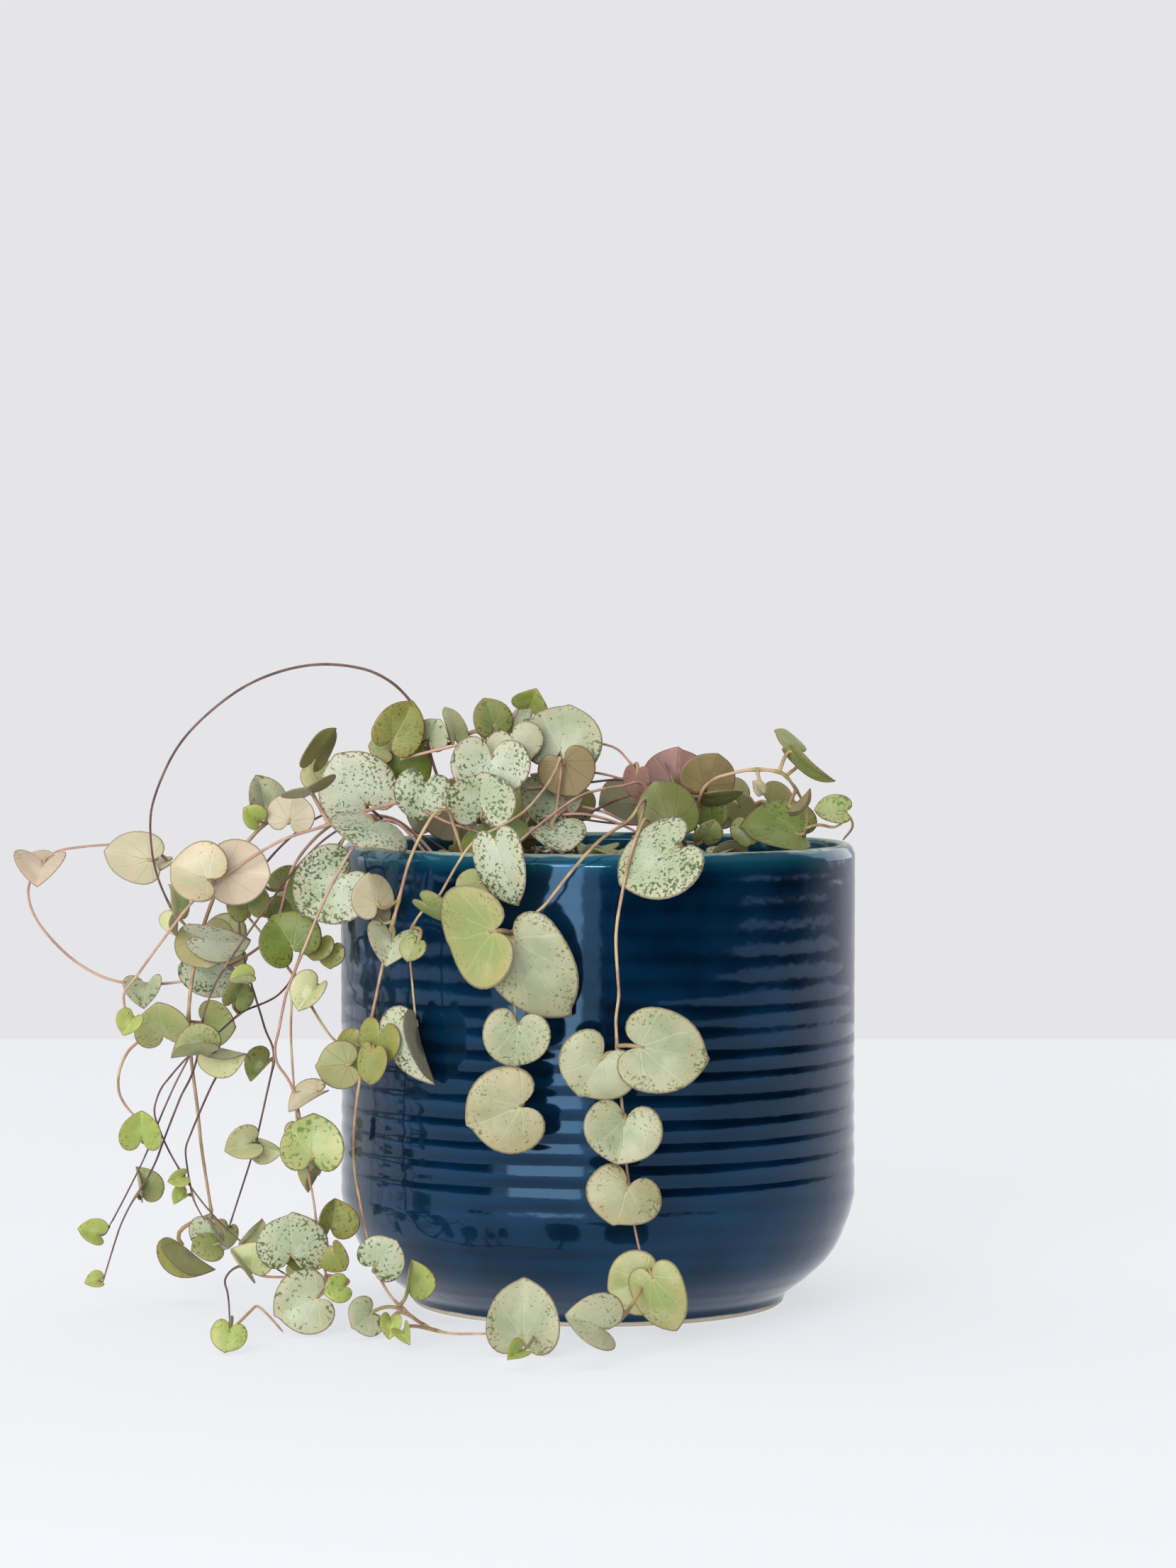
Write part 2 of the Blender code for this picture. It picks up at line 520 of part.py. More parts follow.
def add_tube(bm, points, radius, sides=4):
    """A closed tube along the points, each ring drawn out of the last."""
    ring = bmesh.ops.create_circle(bm, cap_ends=True, segments=sides, radius=1.0)["verts"]
    face = ring[0].link_faces[0]
    angles = [2 * math.pi * k / sides for k in range(sides)]
    for number, (point, (side, up)) in enumerate(zip(points, ring_frames(points))):
        if number:
            face = drawn_out(bm, face, keep=number == 1)
            ring = [next(e.other_vert(v) for e in v.link_edges if e.other_vert(v) in face.verts[:])
                    for v in ring]
        for vert, angle in zip(ring, angles):
            vert.co = point + (side * math.cos(angle) + up * math.sin(angle)) * radius


def drawn_on(bm, face, place, heading, way):
    """A face drawn out to a place, and turned there from its old heading to a new one."""
    face = drawn_out(bm, face)
    bmesh.ops.translate(bm, verts=face.verts, vec=place - face.calc_center_median())
    turn = heading.rotation_difference(way)
    bmesh.ops.rotate(bm, verts=face.verts, cent=place, matrix=turn.to_matrix())
    return face


def add_leaf(bm, pose, root, grow=0.0):
    """A heart-shaped blade, with its stalk drawn out of the wall in the notch to the root."""
    notch, width, long, tip, face = pose
    side = tip.cross(face).normalized()
    face = side.cross(tip).normalized()
    lobe = LOBE if width > SMALL_LEAF else SMALL_LOBE
    half = STALK_WIDTH / 2
    right = [(half, 0.0)] + [(u * width + grow, v * width * (long if v > 0 else 1.0)) for u, v in lobe]
    point = [(0.0, TIP * width * long + grow)]
    left = [(-u, v) for u, v in reversed(right)]
    outline = right + point + left
    middle = (0.0, 0.2 * width * long)
    thick = BLADE + 2 * grow

    def lifted(u, v):
        rise = FOLD * abs(u) - CURL * (v / width) ** 2 * width * 0.3
        return notch + side * u + tip * v + face * (rise - thick / 2)

    rim = [bm.verts.new(lifted(u, v)) for u, v in outline]
    heart = bm.verts.new(lifted(*middle))
    under = [bm.faces.new((a, b, heart)) for a, b in zip(rim, rim[1:])]
    under.append(bm.faces.new((rim[-1], rim[0], heart)))
    raised = bmesh.ops.extrude_face_region(bm, geom=under, use_keep_orig=True)["geom"]
    top = [g for g in raised if isinstance(g, bmesh.types.BMVert)]
    bmesh.ops.translate(bm, verts=top, vec=face * thick)
    if root is None:
        return
    wall = next(f for f in rim[0].link_faces if rim[-1] in f.verts and heart not in f.verts)
    way = root - notch
    heading = -tip
    if way.normalized().dot(tip) > BENT:
        elbow = notch - tip * ELBOW + face * math.copysign(ELBOW / 2, way.dot(face))
        way = root - elbow
        half = (heading + way.normalized()).normalized()
        wall = drawn_on(bm, wall, elbow, heading, half)
        heading = half
    wall = drawn_on(bm, wall, root, heading, way.normalized())
    for vert in wall.verts:
        vert.co = root + (vert.co - root) * STALK_TAPER


def leaf_shape(pose, root, grow=0.0):
    """The leaf as a mesh of its own."""
    bm = bmesh.new()
    add_leaf(bm, pose, root, grow)
    bmesh.ops.recalc_face_normals(bm, faces=bm.faces)
    return bm


def tree_of(bm):
    """A search tree of a mesh, with the middle and reach of its box."""
    corners = [v.co for v in bm.verts]
    low = Vector([min(c[k] for c in corners) for k in range(3)])
    high = Vector([max(c[k] for c in corners) for k in range(3)])
    return BVHTree.FromBMesh(bm), (low + high) / 2, (high - low).length / 2, low.z


def tries():
    """Small changes to a leaf's pose, the gentlest first: a shift in depth and three turns."""
    shifts = (0, -1.5, 1.5, -3, 3, -4.5, 4.5, -6.5, 6.5, -9, 9, -12, 12, -16, 16, -20)
    turns = ((0, 0, 0), (12, 0, 0), (-12, 0, 0), (0, 15, 0), (0, -15, 0), (0, 0, 18), (0, 0, -18),
             (25, 0, 0), (-25, 0, 0), (0, 30, 0), (0, -30, 0), (0, 0, 35), (0, 0, -35),
             (20, 25, 0), (-20, 25, 0), (20, -25, 0), (-20, -25, 0), (0, 25, 35), (0, -25, -35))
    every = [(abs(s) / 3.5 + sum(abs(a) for a in turn) / 16, s, turn)
             for s in shifts for turn in turns]
    return [(s, turn) for _, s, turn in sorted(every)]


def changed(pose, shift, turn):
    """The pose set back by a depth along its line of sight and turned about its own axes."""
    notch, width, long, tip, face = pose
    moved = EYE + (notch - EYE) * ((notch.y + shift - EYE.y) / (notch.y - EYE.y))
    side = tip.cross(face)
    for angle, axis in zip(turn, (face, side, tip)):
        spin = Matrix.Rotation(math.radians(angle), 3, axis)
        tip, face, side = spin @ tip, spin @ face, spin @ side
    return moved, width, long, tip, face


def stalk_root(notch, runs):
    """Where a leaf's stalk meets its vine: the nearest place on its stems' straight runs."""
    spots = []
    for start, stop in runs:
        way = stop - start
        along = (notch - start).dot(way) / max(way.length_squared, 1e-9)
        spots.append(start + way * max(0.06, min(0.94, along)))
    return min(spots, key=lambda p: (p - notch).length + 0.3 * max(0.0, notch.z - p.z))


def straight_runs(stems):
    """The straight runs of a vine's stems, without the ones in the soil."""
    lines = [plain_line(stem) for stem in stems]
    return [run for line in lines for run in zip(line, line[1:]) if run[1].z > SOIL_TOP + 8
            or run[1].xy.length > POT_RADIUS]


def grown_vines():
    """Every vine with its settled stems and its leaves where they touch nothing else."""
    rng = random.Random(BACK_SEED)
    vines = []
    for vine in VINES:
        drawn = [[on_sight(*spot) for spot in stem] for stem in vine.stems]
        stems = [through(rise(vine.root) + drawn[0], STEM_STEP)]
        for shoot in drawn[1:]:
            stems.append(through(shoot, STEM_STEP))
        vines.append((vine.name, vine.radius, stems, vine.leaves))
    for index, (angle, hang, root_radius) in enumerate(BACK_VINES):
        stems, poses = back_vine(index, angle, hang, root_radius, rng)
        stems = [through(stem, STEM_STEP) for stem in stems]
        vines.append((f"vine_behind_{index + 1}", 0.65, stems, poses))
    settle(vines)
    return vines


def stem_trees(vines):
    """A search tree for each straight run of each stem, with the number of its vine."""
    trees = []
    for number, (_, radius, stems, _) in enumerate(vines):
        for stem in stems:
            line = plain_line(stem)
            for run in zip(line, line[1:]):
                bm = bmesh.new()
                add_tube(bm, run, radius * 1.2)
                trees.append((*tree_of(bm), number))
    return trees


def touches(tree, middle, reach, others):
    """Whether a mesh's tree meets any of the others whose box is near."""
    return any((place - middle).length < size + reach and other.overlap(tree)
               for other, place, size, _, _ in others)


def clear_leaves(vines, solids):
    """Place each leaf as drawn, or as near to it as leaves it clear of everything else."""
    stems_taken = stem_trees(vines)
    taken = [(solid, Vector(), 1e6, 0.0, None) for solid in solids] + stems_taken
    order = tries()
    placed = []
    for number, (_, _, stems, leaves) in enumerate(vines):
        own = [t for t in stems_taken if t[-1] == number]
        runs = straight_runs(stems)
        kept = []
        for leaf in leaves:
            wish = leaf_pose(leaf, stems) if isinstance(leaf, Leaf) else leaf
            others = [t for t in taken if t[-1] != number]
            for shift, turn in order:
                pose = changed(wish, shift, turn)
                root = stalk_root(pose[0], runs)
                if (root - pose[0]).normalized().dot(pose[3]) > FOLDED:
                    continue
                tree, middle, reach, lowest = tree_of(leaf_shape(pose, root, CLEAR))
                if lowest < GAP or touches(tree, middle, reach, others):
                    continue
                blade, centre, half, _ = tree_of(leaf_shape(pose, None, CLEAR / 2))
                if not touches(blade, centre, half, own):
                    kept.append((pose, root))
                    taken.append((tree, middle, reach, lowest, number))
                    own.append((blade, centre, half, lowest, number))
                    break
        placed.append(kept)
    return placed


def finished(bm, name, material):
    """The mesh as a named object with its faces pointing out, still in millimetres."""
    bmesh.ops.recalc_face_normals(bm, faces=bm.faces)
    mesh = bpy.data.meshes.new(name)
    bm.to_mesh(mesh)
    bm.free()
    mesh.materials.append(material)
    shape = bpy.data.objects.new(name, mesh)
    bpy.context.scene.collection.objects.link(shape)
    return shape


def plain_material(name, colour, roughness):
    """A Principled BSDF of one colour."""
    material = bpy.data.materials.new(name)
    material.use_nodes = True
    shader = material.node_tree.nodes["Principled BSDF"]
    shader.inputs["Base Color"].default_value = (*colour, 1.0)
    shader.inputs["Roughness"].default_value = roughness
    shader.inputs["Metallic"].default_value = 0.0
    return material


def turned(bm, profile, sides):
    """A closed solid turned about Z from (radius, height) pairs that start and end on the axis."""
    verts = [bm.verts.new((radius, 0.0, height)) for radius, height in profile]
    edges = [bm.edges.new(pair) for pair in zip(verts, verts[1:])]
    bmesh.ops.spin(bm, geom=verts + edges, cent=(0, 0, 0), axis=(0, 0, 1), dvec=(0, 0, 0),
                   angle=2 * math.pi, steps=sides, use_merge=True)
    bmesh.ops.remove_doubles(bm, verts=bm.verts, dist=1e-4)


def build_pot(material):
    """The thrown pot: a small foot, a round flank, fine throwing ridges and a rounded rim."""
    outer = [(FOOT_RADIUS, 0.0)] + list(POT_FLANK)
    count = round((RIDGES_TO - RIDGES_FROM) / RIDGE_PITCH * 2)
    for k in range(count + 1):
        height = RIDGES_FROM + (RIDGES_TO - RIDGES_FROM) * k / count
        outer.append((POT_RADIUS - (RIDGE_DEPTH if k % 2 else 0.0), height))
    rim = [(POT_RADIUS - 0.3, POT_HEIGHT - 2.0), (POT_RADIUS - 1.4, POT_HEIGHT - 0.3),
           (POT_RADIUS - 2.6, POT_HEIGHT - 0.3), (POT_RADIUS - WALL + 0.3, POT_HEIGHT - 2.0)]
    inner = list(reversed(POT_INSIDE)) + [(0.0, POT_INSIDE[0][1])]
    bm = bmesh.new()
    turned(bm, [(0.0, 0.0)] + outer + rim + inner, POT_SIDES)
    return finished(bm, "pot", material)


def build_soil(material, vines):
    """The plug of soil: a bumpy top, clear of the pot, with a plain hole for each stem."""
    facet = math.cos(math.pi / POT_SIDES)
    wall = [(radius * facet - 2 * GAP, height + GAP) for radius, height in POT_INSIDE]
    edge = wall[-1][0]
    top = [(edge, SOIL_TOP - 2.0)] + [(edge * k / 3, SOIL_TOP) for k in (2, 1, 0)]
    bm = bmesh.new()
    turned(bm, [(0.0, wall[0][1])] + wall + top, SOIL_SIDES)
    for vert in bm.verts:
        if vert.co.z > SOIL_TOP - 3.0:
            vert.co.z += SOIL_BUMP * (noise.noise(vert.co * 0.06) - 0.3)
    soil = finished(bm, "soil", material)
    cutters = bpy.data.collections.new("soil holes")
    bpy.context.scene.collection.children.link(cutters)
    for number, (_, radius, stems, _) in enumerate(vines):
        bm = bmesh.new()
        base = stems[0][0]
        width = (radius + HOLE_GAP) / math.cos(math.pi / HOLE_SIDES)
        ends = [Vector((base.x, base.y, SOIL_TOP - HOLE_DEPTH)), Vector((base.x, base.y, SOIL_TOP + 9))]
        add_tube(bm, ends, width, HOLE_SIDES)
        hole = finished(bm, f"hole_{number}", material)
        bpy.context.scene.collection.objects.unlink(hole)
        cutters.objects.link(hole)
    join(soil, cutters, "DIFFERENCE")
    return soil


def join(shape, parts, operation):
    """One Boolean of a collection on an object, applied, with the collection then removed."""
    boolean = shape.modifiers.new("join", "BOOLEAN")
    boolean.operand_type = "COLLECTION"
    boolean.collection = parts
    boolean.operation = operation
    boolean.solver = "MANIFOLD"
    graph = bpy.context.evaluated_depsgraph_get()
    whole = bpy.data.meshes.new_from_object(shape.evaluated_get(graph))
    shape.modifiers.clear()
    shape.data = whole
    for part in list(parts.objects):
        bpy.data.objects.remove(part)
    bpy.data.collections.remove(parts)


def build_vine(name, radius, stems, leaves, material):
    """One leafy stem: the main stem with its side shoots and leaves joined on."""
    bm = bmesh.new()
    add_tube(bm, plain_line(stems[0]), radius)
    vine = finished(bm, name, material)
    parts = bpy.data.collections.new(name + " parts")
    bpy.context.scene.collection.children.link(parts)
    shapes = []
    for shoot in stems[1:]:
        bm = bmesh.new()
        add_tube(bm, plain_line(shoot), radius * 0.9)
        shapes.append(bm)
    shapes += [leaf_shape(pose, root) for pose, root in leaves]
    for number, bm in enumerate(shapes):
        part = finished(bm, f"{name}_{number}", material)
        bpy.context.scene.collection.objects.unlink(part)
        parts.objects.link(part)
    join(vine, parts, "UNION")
    return vine


def main():
    """Clear the scene and build every piece."""
    for old in list(bpy.data.objects):
        bpy.data.objects.remove(old)
    glaze = plain_material("blue glaze", (0.01, 0.05, 0.12), 0.15)
    earth = plain_material("soil", (0.06, 0.04, 0.03), 0.95)
    green = plain_material("leaf and stem", (0.25, 0.33, 0.18), 0.5)
    vines = grown_vines()
    pot = build_pot(glaze)
    soil = build_soil(earth, vines)
    solids = []
    for shape in (pot, soil):
        bm = bmesh.new()
        bm.from_mesh(shape.data)
        solids.append(BVHTree.FromBMesh(bm))
        bm.free()
    for (name, radius, stems, _), leaves in zip(vines, clear_leaves(vines, solids)):
        build_vine(name, radius, stems, leaves, green)
    for shape in bpy.context.scene.objects:
        shape.data.transform(Matrix.Scale(MM, 4))


main()
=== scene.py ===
"""The looks of a string of hearts (Ceropegia woodii) in its blue glazed pot.

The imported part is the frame: the pot, the soil and one node for each leafy stem. This script
puts a finer piece in the place of each of them. Lengths in the plan are millimetres, as in the
part's source, and every finished mesh is brought to metres at the end.
"""
import logging
import math
import random
from collections.abc import Sequence
from dataclasses import dataclass, field, replace
from enum import Enum

import bmesh
import bpy
from mathutils import Matrix, Vector, noise
from mathutils.kdtree import KDTree


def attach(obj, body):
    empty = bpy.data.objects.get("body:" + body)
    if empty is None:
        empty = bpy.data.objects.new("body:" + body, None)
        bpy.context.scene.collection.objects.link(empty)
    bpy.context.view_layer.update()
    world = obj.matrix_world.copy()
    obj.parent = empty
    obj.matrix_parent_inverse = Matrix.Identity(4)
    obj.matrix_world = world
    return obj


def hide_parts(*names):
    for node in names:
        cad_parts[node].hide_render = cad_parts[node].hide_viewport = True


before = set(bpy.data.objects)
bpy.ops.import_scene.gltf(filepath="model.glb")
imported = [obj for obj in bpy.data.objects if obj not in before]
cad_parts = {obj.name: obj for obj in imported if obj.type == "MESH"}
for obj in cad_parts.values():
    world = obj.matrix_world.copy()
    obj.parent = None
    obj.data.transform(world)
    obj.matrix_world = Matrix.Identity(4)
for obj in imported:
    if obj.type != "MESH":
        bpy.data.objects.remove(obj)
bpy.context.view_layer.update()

LOG = logging.getLogger("string of hearts")
MM = 0.001
UP = Vector((0.0, 0.0, 1.0))

# The photograph's camera: its place in millimetres from the middle of the pot's foot, its lens
# and sensor in millimetres, and how many degrees it looks down
EYE = Vector((-2.5, -1106.0, 165.3))
LENS = 100.4
SENSOR = 36.0
TILT_DOWN = 1.79

Colour = tuple[int, int, int]
Triple = tuple[float, float, float]
Pairs = tuple[tuple[float, float], ...]
Socket = bpy.types.NodeSocket
BMesh = bmesh.types.BMesh


class Tone(Enum):
    """How a leaf is coloured."""

    SILVER = "silver"
    SPECKLED = "speckled silver"
    SAGE = "sage"
    KHAKI = "khaki"
    GREEN = "mid green"
    # dark green: partly the leaf's own colour, partly painted shade of leaves that sit in shadow
    DARK = "dark green"
    # olive: partly the leaf's own colour, partly the painted look of a leaf lit from behind
    OLIVE = "olive"
    YELLOW = "yellow green"
    PALE = "pale green"
    LIME = "lime"
    MOTTLED = "mottled lime"
    BEIGE = "beige"
    BLUSH = "blush"
    PLUM = "plum"
    BROWN = "olive brown"


(SILVER, SPECKLED, SAGE, KHAKI, GREEN, DARK, OLIVE, YELLOW, PALE, LIME, MOTTLED, BEIGE, BLUSH,
 PLUM, BROWN) = Tone


class Bark(Enum):
    """How old a stem is, from its colour."""

    DARK = "dark purple brown"
    MAUVE = "mauve brown"
    TAN = "tan"


@dataclass(frozen=True)
class Leaf:
    """A leaf as the photograph shows it, on the upright plane through the pot's axis.

    It has its notch at x, z, its width, the way its tip points (0 right, 90 up), how far the tip
    leans to the front, its turn about the midrib (180 shows the underside), how far it stands off
    its stem in depth, its length against a leaf of the usual shape and how far its halves fold up.
    """

    tone: Tone
    x: float
    z: float
    width: float
    aim: float
    pitch: float = 0.0
    roll: float = 0.0
    near: float = -3.0
    long: float = 1.0
    fold: float = 0.0


@dataclass(frozen=True)
class Vine:
    """A drawn vine: its stems are lists of (x, z, depth), the first one rising from its root.

    Its wisps are the thin shoots and bare stems that only the finished model has.
    """

    name: str
    bark: Bark
    root: tuple[float, float]
    radius: float
    stems: tuple[tuple[Triple, ...], ...]
    leaves: tuple[Leaf, ...]
    wisps: tuple[tuple[Triple, ...], ...] = ()


VINES: tuple[Vine, ...] = (
    Vine("vine_arch", Bark.DARK, (-30, -6), 0.75, (
        ((-40, 131, -14), (-43.5, 142, -16), (-47, 151, -18), (-53, 157, -20), (-60, 160, -22),
         (-70, 161, -24), (-80, 159.3, -26), (-90, 155, -27), (-100, 147.3, -28), (-107, 139, -28),
         (-112, 128, -27), (-113.3, 120, -26), (-112, 109, -24), (-107.5, 98.5, -22),
         (-101.5, 92.2, -20)),
    ), (
        Leaf(SILVER, -42.5, 142.5, 9.5, 60, 20),
        Leaf(PALE, -36.4, 142.8, 11.5, 104, 0, 70, 2, 1.2),
        Leaf(OLIVE, -52, 142, 13.5, 61, 4, 20, -8, 1.4),
        Leaf(YELLOW, -53.5, 139.5, 8, 165, 20, 20, 3),
        Leaf(PALE, -106.8, 98.8, 11, 96, 0, 72, -3.5, fold=20),
        Leaf(PALE, -106.6, 96.5, 8, -98, 0, 66, 5, fold=25),
        Leaf(SILVER, -100.3, 91.8, 19, -11, 8, 59, -3),
        Leaf(OLIVE, -100, 92.5, 16, -80, 15, -180, 8),
    )),
    Vine("vine_far_loop", Bark.MAUVE, (-38, 14), 0.65, (
        ((-50, 121, 14), (-62, 122.5, 12), (-70, 118.5, 8), (-77, 110, 4), (-80, 100, 2),
         (-82, 93.5, 2), (-87, 88.5, 2), (-95, 84, 3), (-105, 80.8, 4), (-115, 80, 5),
         (-124, 81.3, 5), (-132, 85.5, 5), (-138.5, 91.5, 5), (-143, 98, 5), (-144.2, 104.5, 4),
         (-141, 110.5, 2), (-136.5, 113.8, 0), (-125, 115.3, -2), (-115, 115.2, -3),
         (-111, 113.3, -4)),
    ), (
        Leaf(BLUSH, -140.5, 109.8, 13.5, 262, 62, 10, -5, fold=12),
        Leaf(BLUSH, -142, 111.5, 9.5, 95, -60, 0, 3),
        Leaf(BEIGE, -113.5, 111.5, 13.5, 168, 0, 180, -4, 1.5),
        Leaf(BEIGE, -110, 110.8, 10, 196, 0, 78, 3),
        Leaf(SILVER, -114.5, 79, 11, 268, 45, 10, -4, fold=25),
        Leaf(GREEN, -82.5, 97, 11, 30, -20, 30, 5),
    )),
    Vine("vine_low_left", Bark.MAUVE, (-26, -26), 0.7, (
        ((-37, 129.5, -26), (-45, 127.3, -30), (-58, 124, -35), (-70, 119.8, -38),
         (-80, 116.5, -40), (-90, 110.5, -41), (-101.5, 102, -40), (-110, 91.5, -38),
         (-118, 80.5, -36), (-120, 77.8, -36), (-119.5, 69, -35)),
    ), (
        Leaf(BEIGE, -99.3, 106.8, 17, 156, 0, 25, -4),
        Leaf(BLUSH, -94.2, 108.5, 17, -5, 0, 180, 4, 1.1),
        Leaf(SPECKLED, -57, 120.5, 21, -112, 71, 0, -13),
        Leaf(OLIVE, -72.7, 129, 15, 112, 72, 180, 2),
        Leaf(SPECKLED, -43.8, 130.5, 15, -102, 5, 0, -4.5),
        Leaf(LIME, -118, 71, 8, 240, 25, 15, -3, fold=30),
    )),
    Vine("vine_thick", Bark.TAN, (-20, -2), 0.85, (
        ((-28, 141, -4), (-35, 142.5, -5), (-45, 140.8, -6), (-52, 136.5, -7), (-62, 132, -8),
         (-73, 128.5, -9), (-84, 121, -10), (-93, 110.5, -10), (-97.5, 101.5, -10),
         (-101.5, 89, -9), (-103.5, 76, -8), (-103.8, 70.5, -8), (-103, 60, -8), (-101.5, 48, -8),
         (-100.5, 38, -8), (-98, 21.5, -8)),
    ), (
        Leaf(DARK, -51.5, 139.3, 13, -42, 0, 3, -4, 1.4),
        Leaf(SPECKLED, -59, 126.3, 20.5, 123, 3, 0, -9, 1.1),
        Leaf(YELLOW, -70.5, 131.5, 9.5, 95, -20, 0, 4),
        Leaf(OLIVE, -71.9, 136.8, 12.5, 60, 0, -120, -1.5, 1.25),
        Leaf(BEIGE, -78, 121.5, 12.5, 80, 0, 180, -4),
        Leaf(SILVER, -84.5, 124, 14, 95, 0, 48, 3, fold=15),
        Leaf(LIME, -86.5, 122, 7.5, 140, 20, 10, -5.5, fold=30),
        Leaf(SPECKLED, -101, 85.5, 15.5, -38, 0, 42, 7, 1.5),
        Leaf(YELLOW, -110, 67.5, 14.5, 100, 30, 0, -4), Leaf(GREEN, -99, 70, 12.5, -5, 25, 0, 5.5),
        Leaf(PALE, -97.5, 64, 14.5, -15, 20, 58, -19, fold=45),
        Leaf(SPECKLED, -98, 19, 13.5, -62, 0, 50, -4, fold=25),
        Leaf(OLIVE, -106, 14, 17, -48, 0, 70, 3, fold=40),
        Leaf(GREEN, -97.5, 13.5, 9, -175, 30, 40, -8.5),
    ), (
        ((-115, 66.5, -10), (-119, 63, -11), (-121.3, 58, -12), (-121.5, 53, -12),
         (-120, 49.5, -12), (-117, 46, -11), (-113, 42.5, -10)),
        ((-93, 12, -26), (-91, 9, -28), (-87, 6.5, -30), (-83, 5.5, -31), (-75, 6, -31),
         (-68, 9, -30)),
        ((-92, -7, -52), (-88, -3, -46), (-86.5, -2, -44), (-84, -4, -48), (-80, -8.5, -56)),
    )),
    Vine("vine_two_tails", Bark.DARK, (-42, -22), 0.6, (
        ((-56, 121.5, -32), (-66, 119, -33), (-76, 110, -31), (-85, 98, -29), (-92, 88, -28),
         (-97, 80, -28), (-100, 72, -28), (-103, 63, -28), (-107, 55, -28), (-111, 46, -28),
         (-115, 36, -28), (-121.5, 23, -28), (-124, 18.5, -28)),
        ((-100, 72, -28), (-101, 65, -25), (-102.5, 58, -23), (-105.5, 52, -22), (-109.5, 42, -22),
         (-113, 33, -22), (-117, 26.5, -22), (-121, 19, -22), (-125.8, 4, -22)),
    ), (
        Leaf(LIME, -115.7, 40.7, 11.5, 90, 10, 0, -4, fold=15),
        Leaf(GREEN, -116, 27, 11, 95, 0, 55, 6, fold=40),
        Leaf(LIME, -127, 16.3, 8, 160, 15, 20, -2, fold=30),
        Leaf(LIME, -127, 4.3, 6, 180, 20, 30, 0, fold=40),
        Leaf(GREEN, -99, 62.5, 15, -178, 0, 58, -16, fold=60),
        Leaf(LIME, -89, 80.5, 8, 172, 20, 66, -4.5, fold=50),
    )),
    Vine("vine_dark_long", Bark.DARK, (-32, 28), 0.6, (
        ((-48, 119.5, 24), (-60, 121, 27), (-70, 108, 22), (-74, 92, 14), (-78.5, 80, 6),
         (-84, 75.5, 0), (-90, 73, -6), (-97, 67, -12), (-104, 61.5, -16), (-111, 53, -18),
         (-112.5, 48, -18), (-109.5, 39, -18), (-103, 28, -18), (-95, 18.5, -20), (-85, 10, -24),
         (-79, 6, -28)),
        ((-97, 67, -12), (-95.5, 60, -14), (-99, 52, -14), (-103.8, 40.5, -13), (-104.5, 36, -13),
         (-102.5, 25, -14), (-99.5, 19.5, -15)),
        ((-85, 10, -24), (-90, 8.5, -27), (-94.5, 6, -30), (-93.8, 0, -38), (-93.5, -6.5, -52)),
    ), (
        Leaf(LIME, -105.5, 31, 6.5, 200, 20, 0, -2, fold=45),
        Leaf(LIME, -105, 26, 6, 215, 20, 30, 1, fold=45),
        Leaf(PALE, -89, 15.5, 11, 45, 0, 50, -5, fold=35),
        Leaf(PALE, -88.5, 7, 13.5, 125, 0, 48, -5.5, fold=30),
        Leaf(LIME, -93.5, -8, 9.5, -100, 20, 0, -36), Leaf(GREEN, -78, 5, 9, -30, 30, 20, -2),
        Leaf(GREEN, -92, 76, 10, 60, 0, 40, -2.5),
    )),
    Vine("vine_butterfly", Bark.DARK, (-44, 2), 0.65, (
        ((-57, 124, 2), (-68, 123.5, 6), (-78, 117, 13), (-86, 108, 17), (-90.7, 98, 18),
         (-90.5, 92, 17), (-89.5, 86, 16), (-87.5, 79, 15), (-85.5, 72.5, 13), (-83.5, 66, 11),
         (-82, 62, 10), (-84, 52, 9), (-86.5, 41, 8), (-88, 35.5, 8), (-93.5, 18.5, 8)),
    ), (
        Leaf(PALE, -88.2, 39.5, 11, 195, 20, 15, -2, fold=35),
        Leaf(PALE, -84.8, 39, 9.5, -20, 20, 25, 3.5, fold=40),
        Leaf(GREEN, -80, 104, 14, 20, -10, 20, 4), Leaf(OLIVE, -92.5, 90, 15, 172, -10, 160, 5),
        Leaf(GREEN, -84, 60, 11, -135, 10, 30, 5.5, fold=55),
        Leaf(GREEN, -94, 17.5, 9, 250, 10, 30, 2, fold=20),
    )),
    Vine("vine_inner_left", Bark.MAUVE, (-37, -33), 0.6, (
        ((-51, 121, -40), (-60, 117, -46), (-68, 104, -48), (-74, 90, -47), (-79, 77.5, -44),
         (-80.5, 70, -43), (-82, 62, -42), (-80, 58, -42), (-77.5, 54, -43), (-76, 48, -44),
         (-74.5, 40, -45), (-73.5, 32, -46), (-72, 24, -47), (-71, 15, -49), (-69, 6, -52)),
    ), (
        Leaf(BEIGE, -71.5, 52.2, 14, 205, 10, 72, -3),
        Leaf(MOTTLED, -72.4, 36.3, 16.5, 90, 0, 0, -5),
        Leaf(GREEN, -71, 32, 9.5, -128, 0, 68, 4.5, fold=40),
        Leaf(OLIVE, -67.8, 18.5, 13, 80, 0, 40, 0, fold=15),
        Leaf(SPECKLED, -77.6, 11.5, 18.5, 90, 10, 0, -5), Leaf(DARK, -75, 13, 12, 200, 45, 0, 4),
        Leaf(OLIVE, -67, 12, 10, -60, 10, 30, -4.5), Leaf(SILVER, -72, 0, 17, -157, 15, 3, -8.5),
        Leaf(LIME, -65, 3, 8, 200, 30, 0, -14, fold=15),
    )),
    Vine("vine_star", Bark.TAN, (-47, -11), 0.6, (
        ((-56, 121.5, -18), (-63, 117, -23), (-66.5, 110, -25), (-69, 101, -25), (-72.5, 93, -24),
         (-75, 87.5, -24), (-77, 82, -24), (-77.8, 70, -24), (-77.5, 60, -24), (-76.3, 45, -24),
         (-75, 36, -25)),
        ((-77, 82, -24), (-79.5, 85.5, -22), (-84, 91.5, -20), (-88.5, 97, -18)),
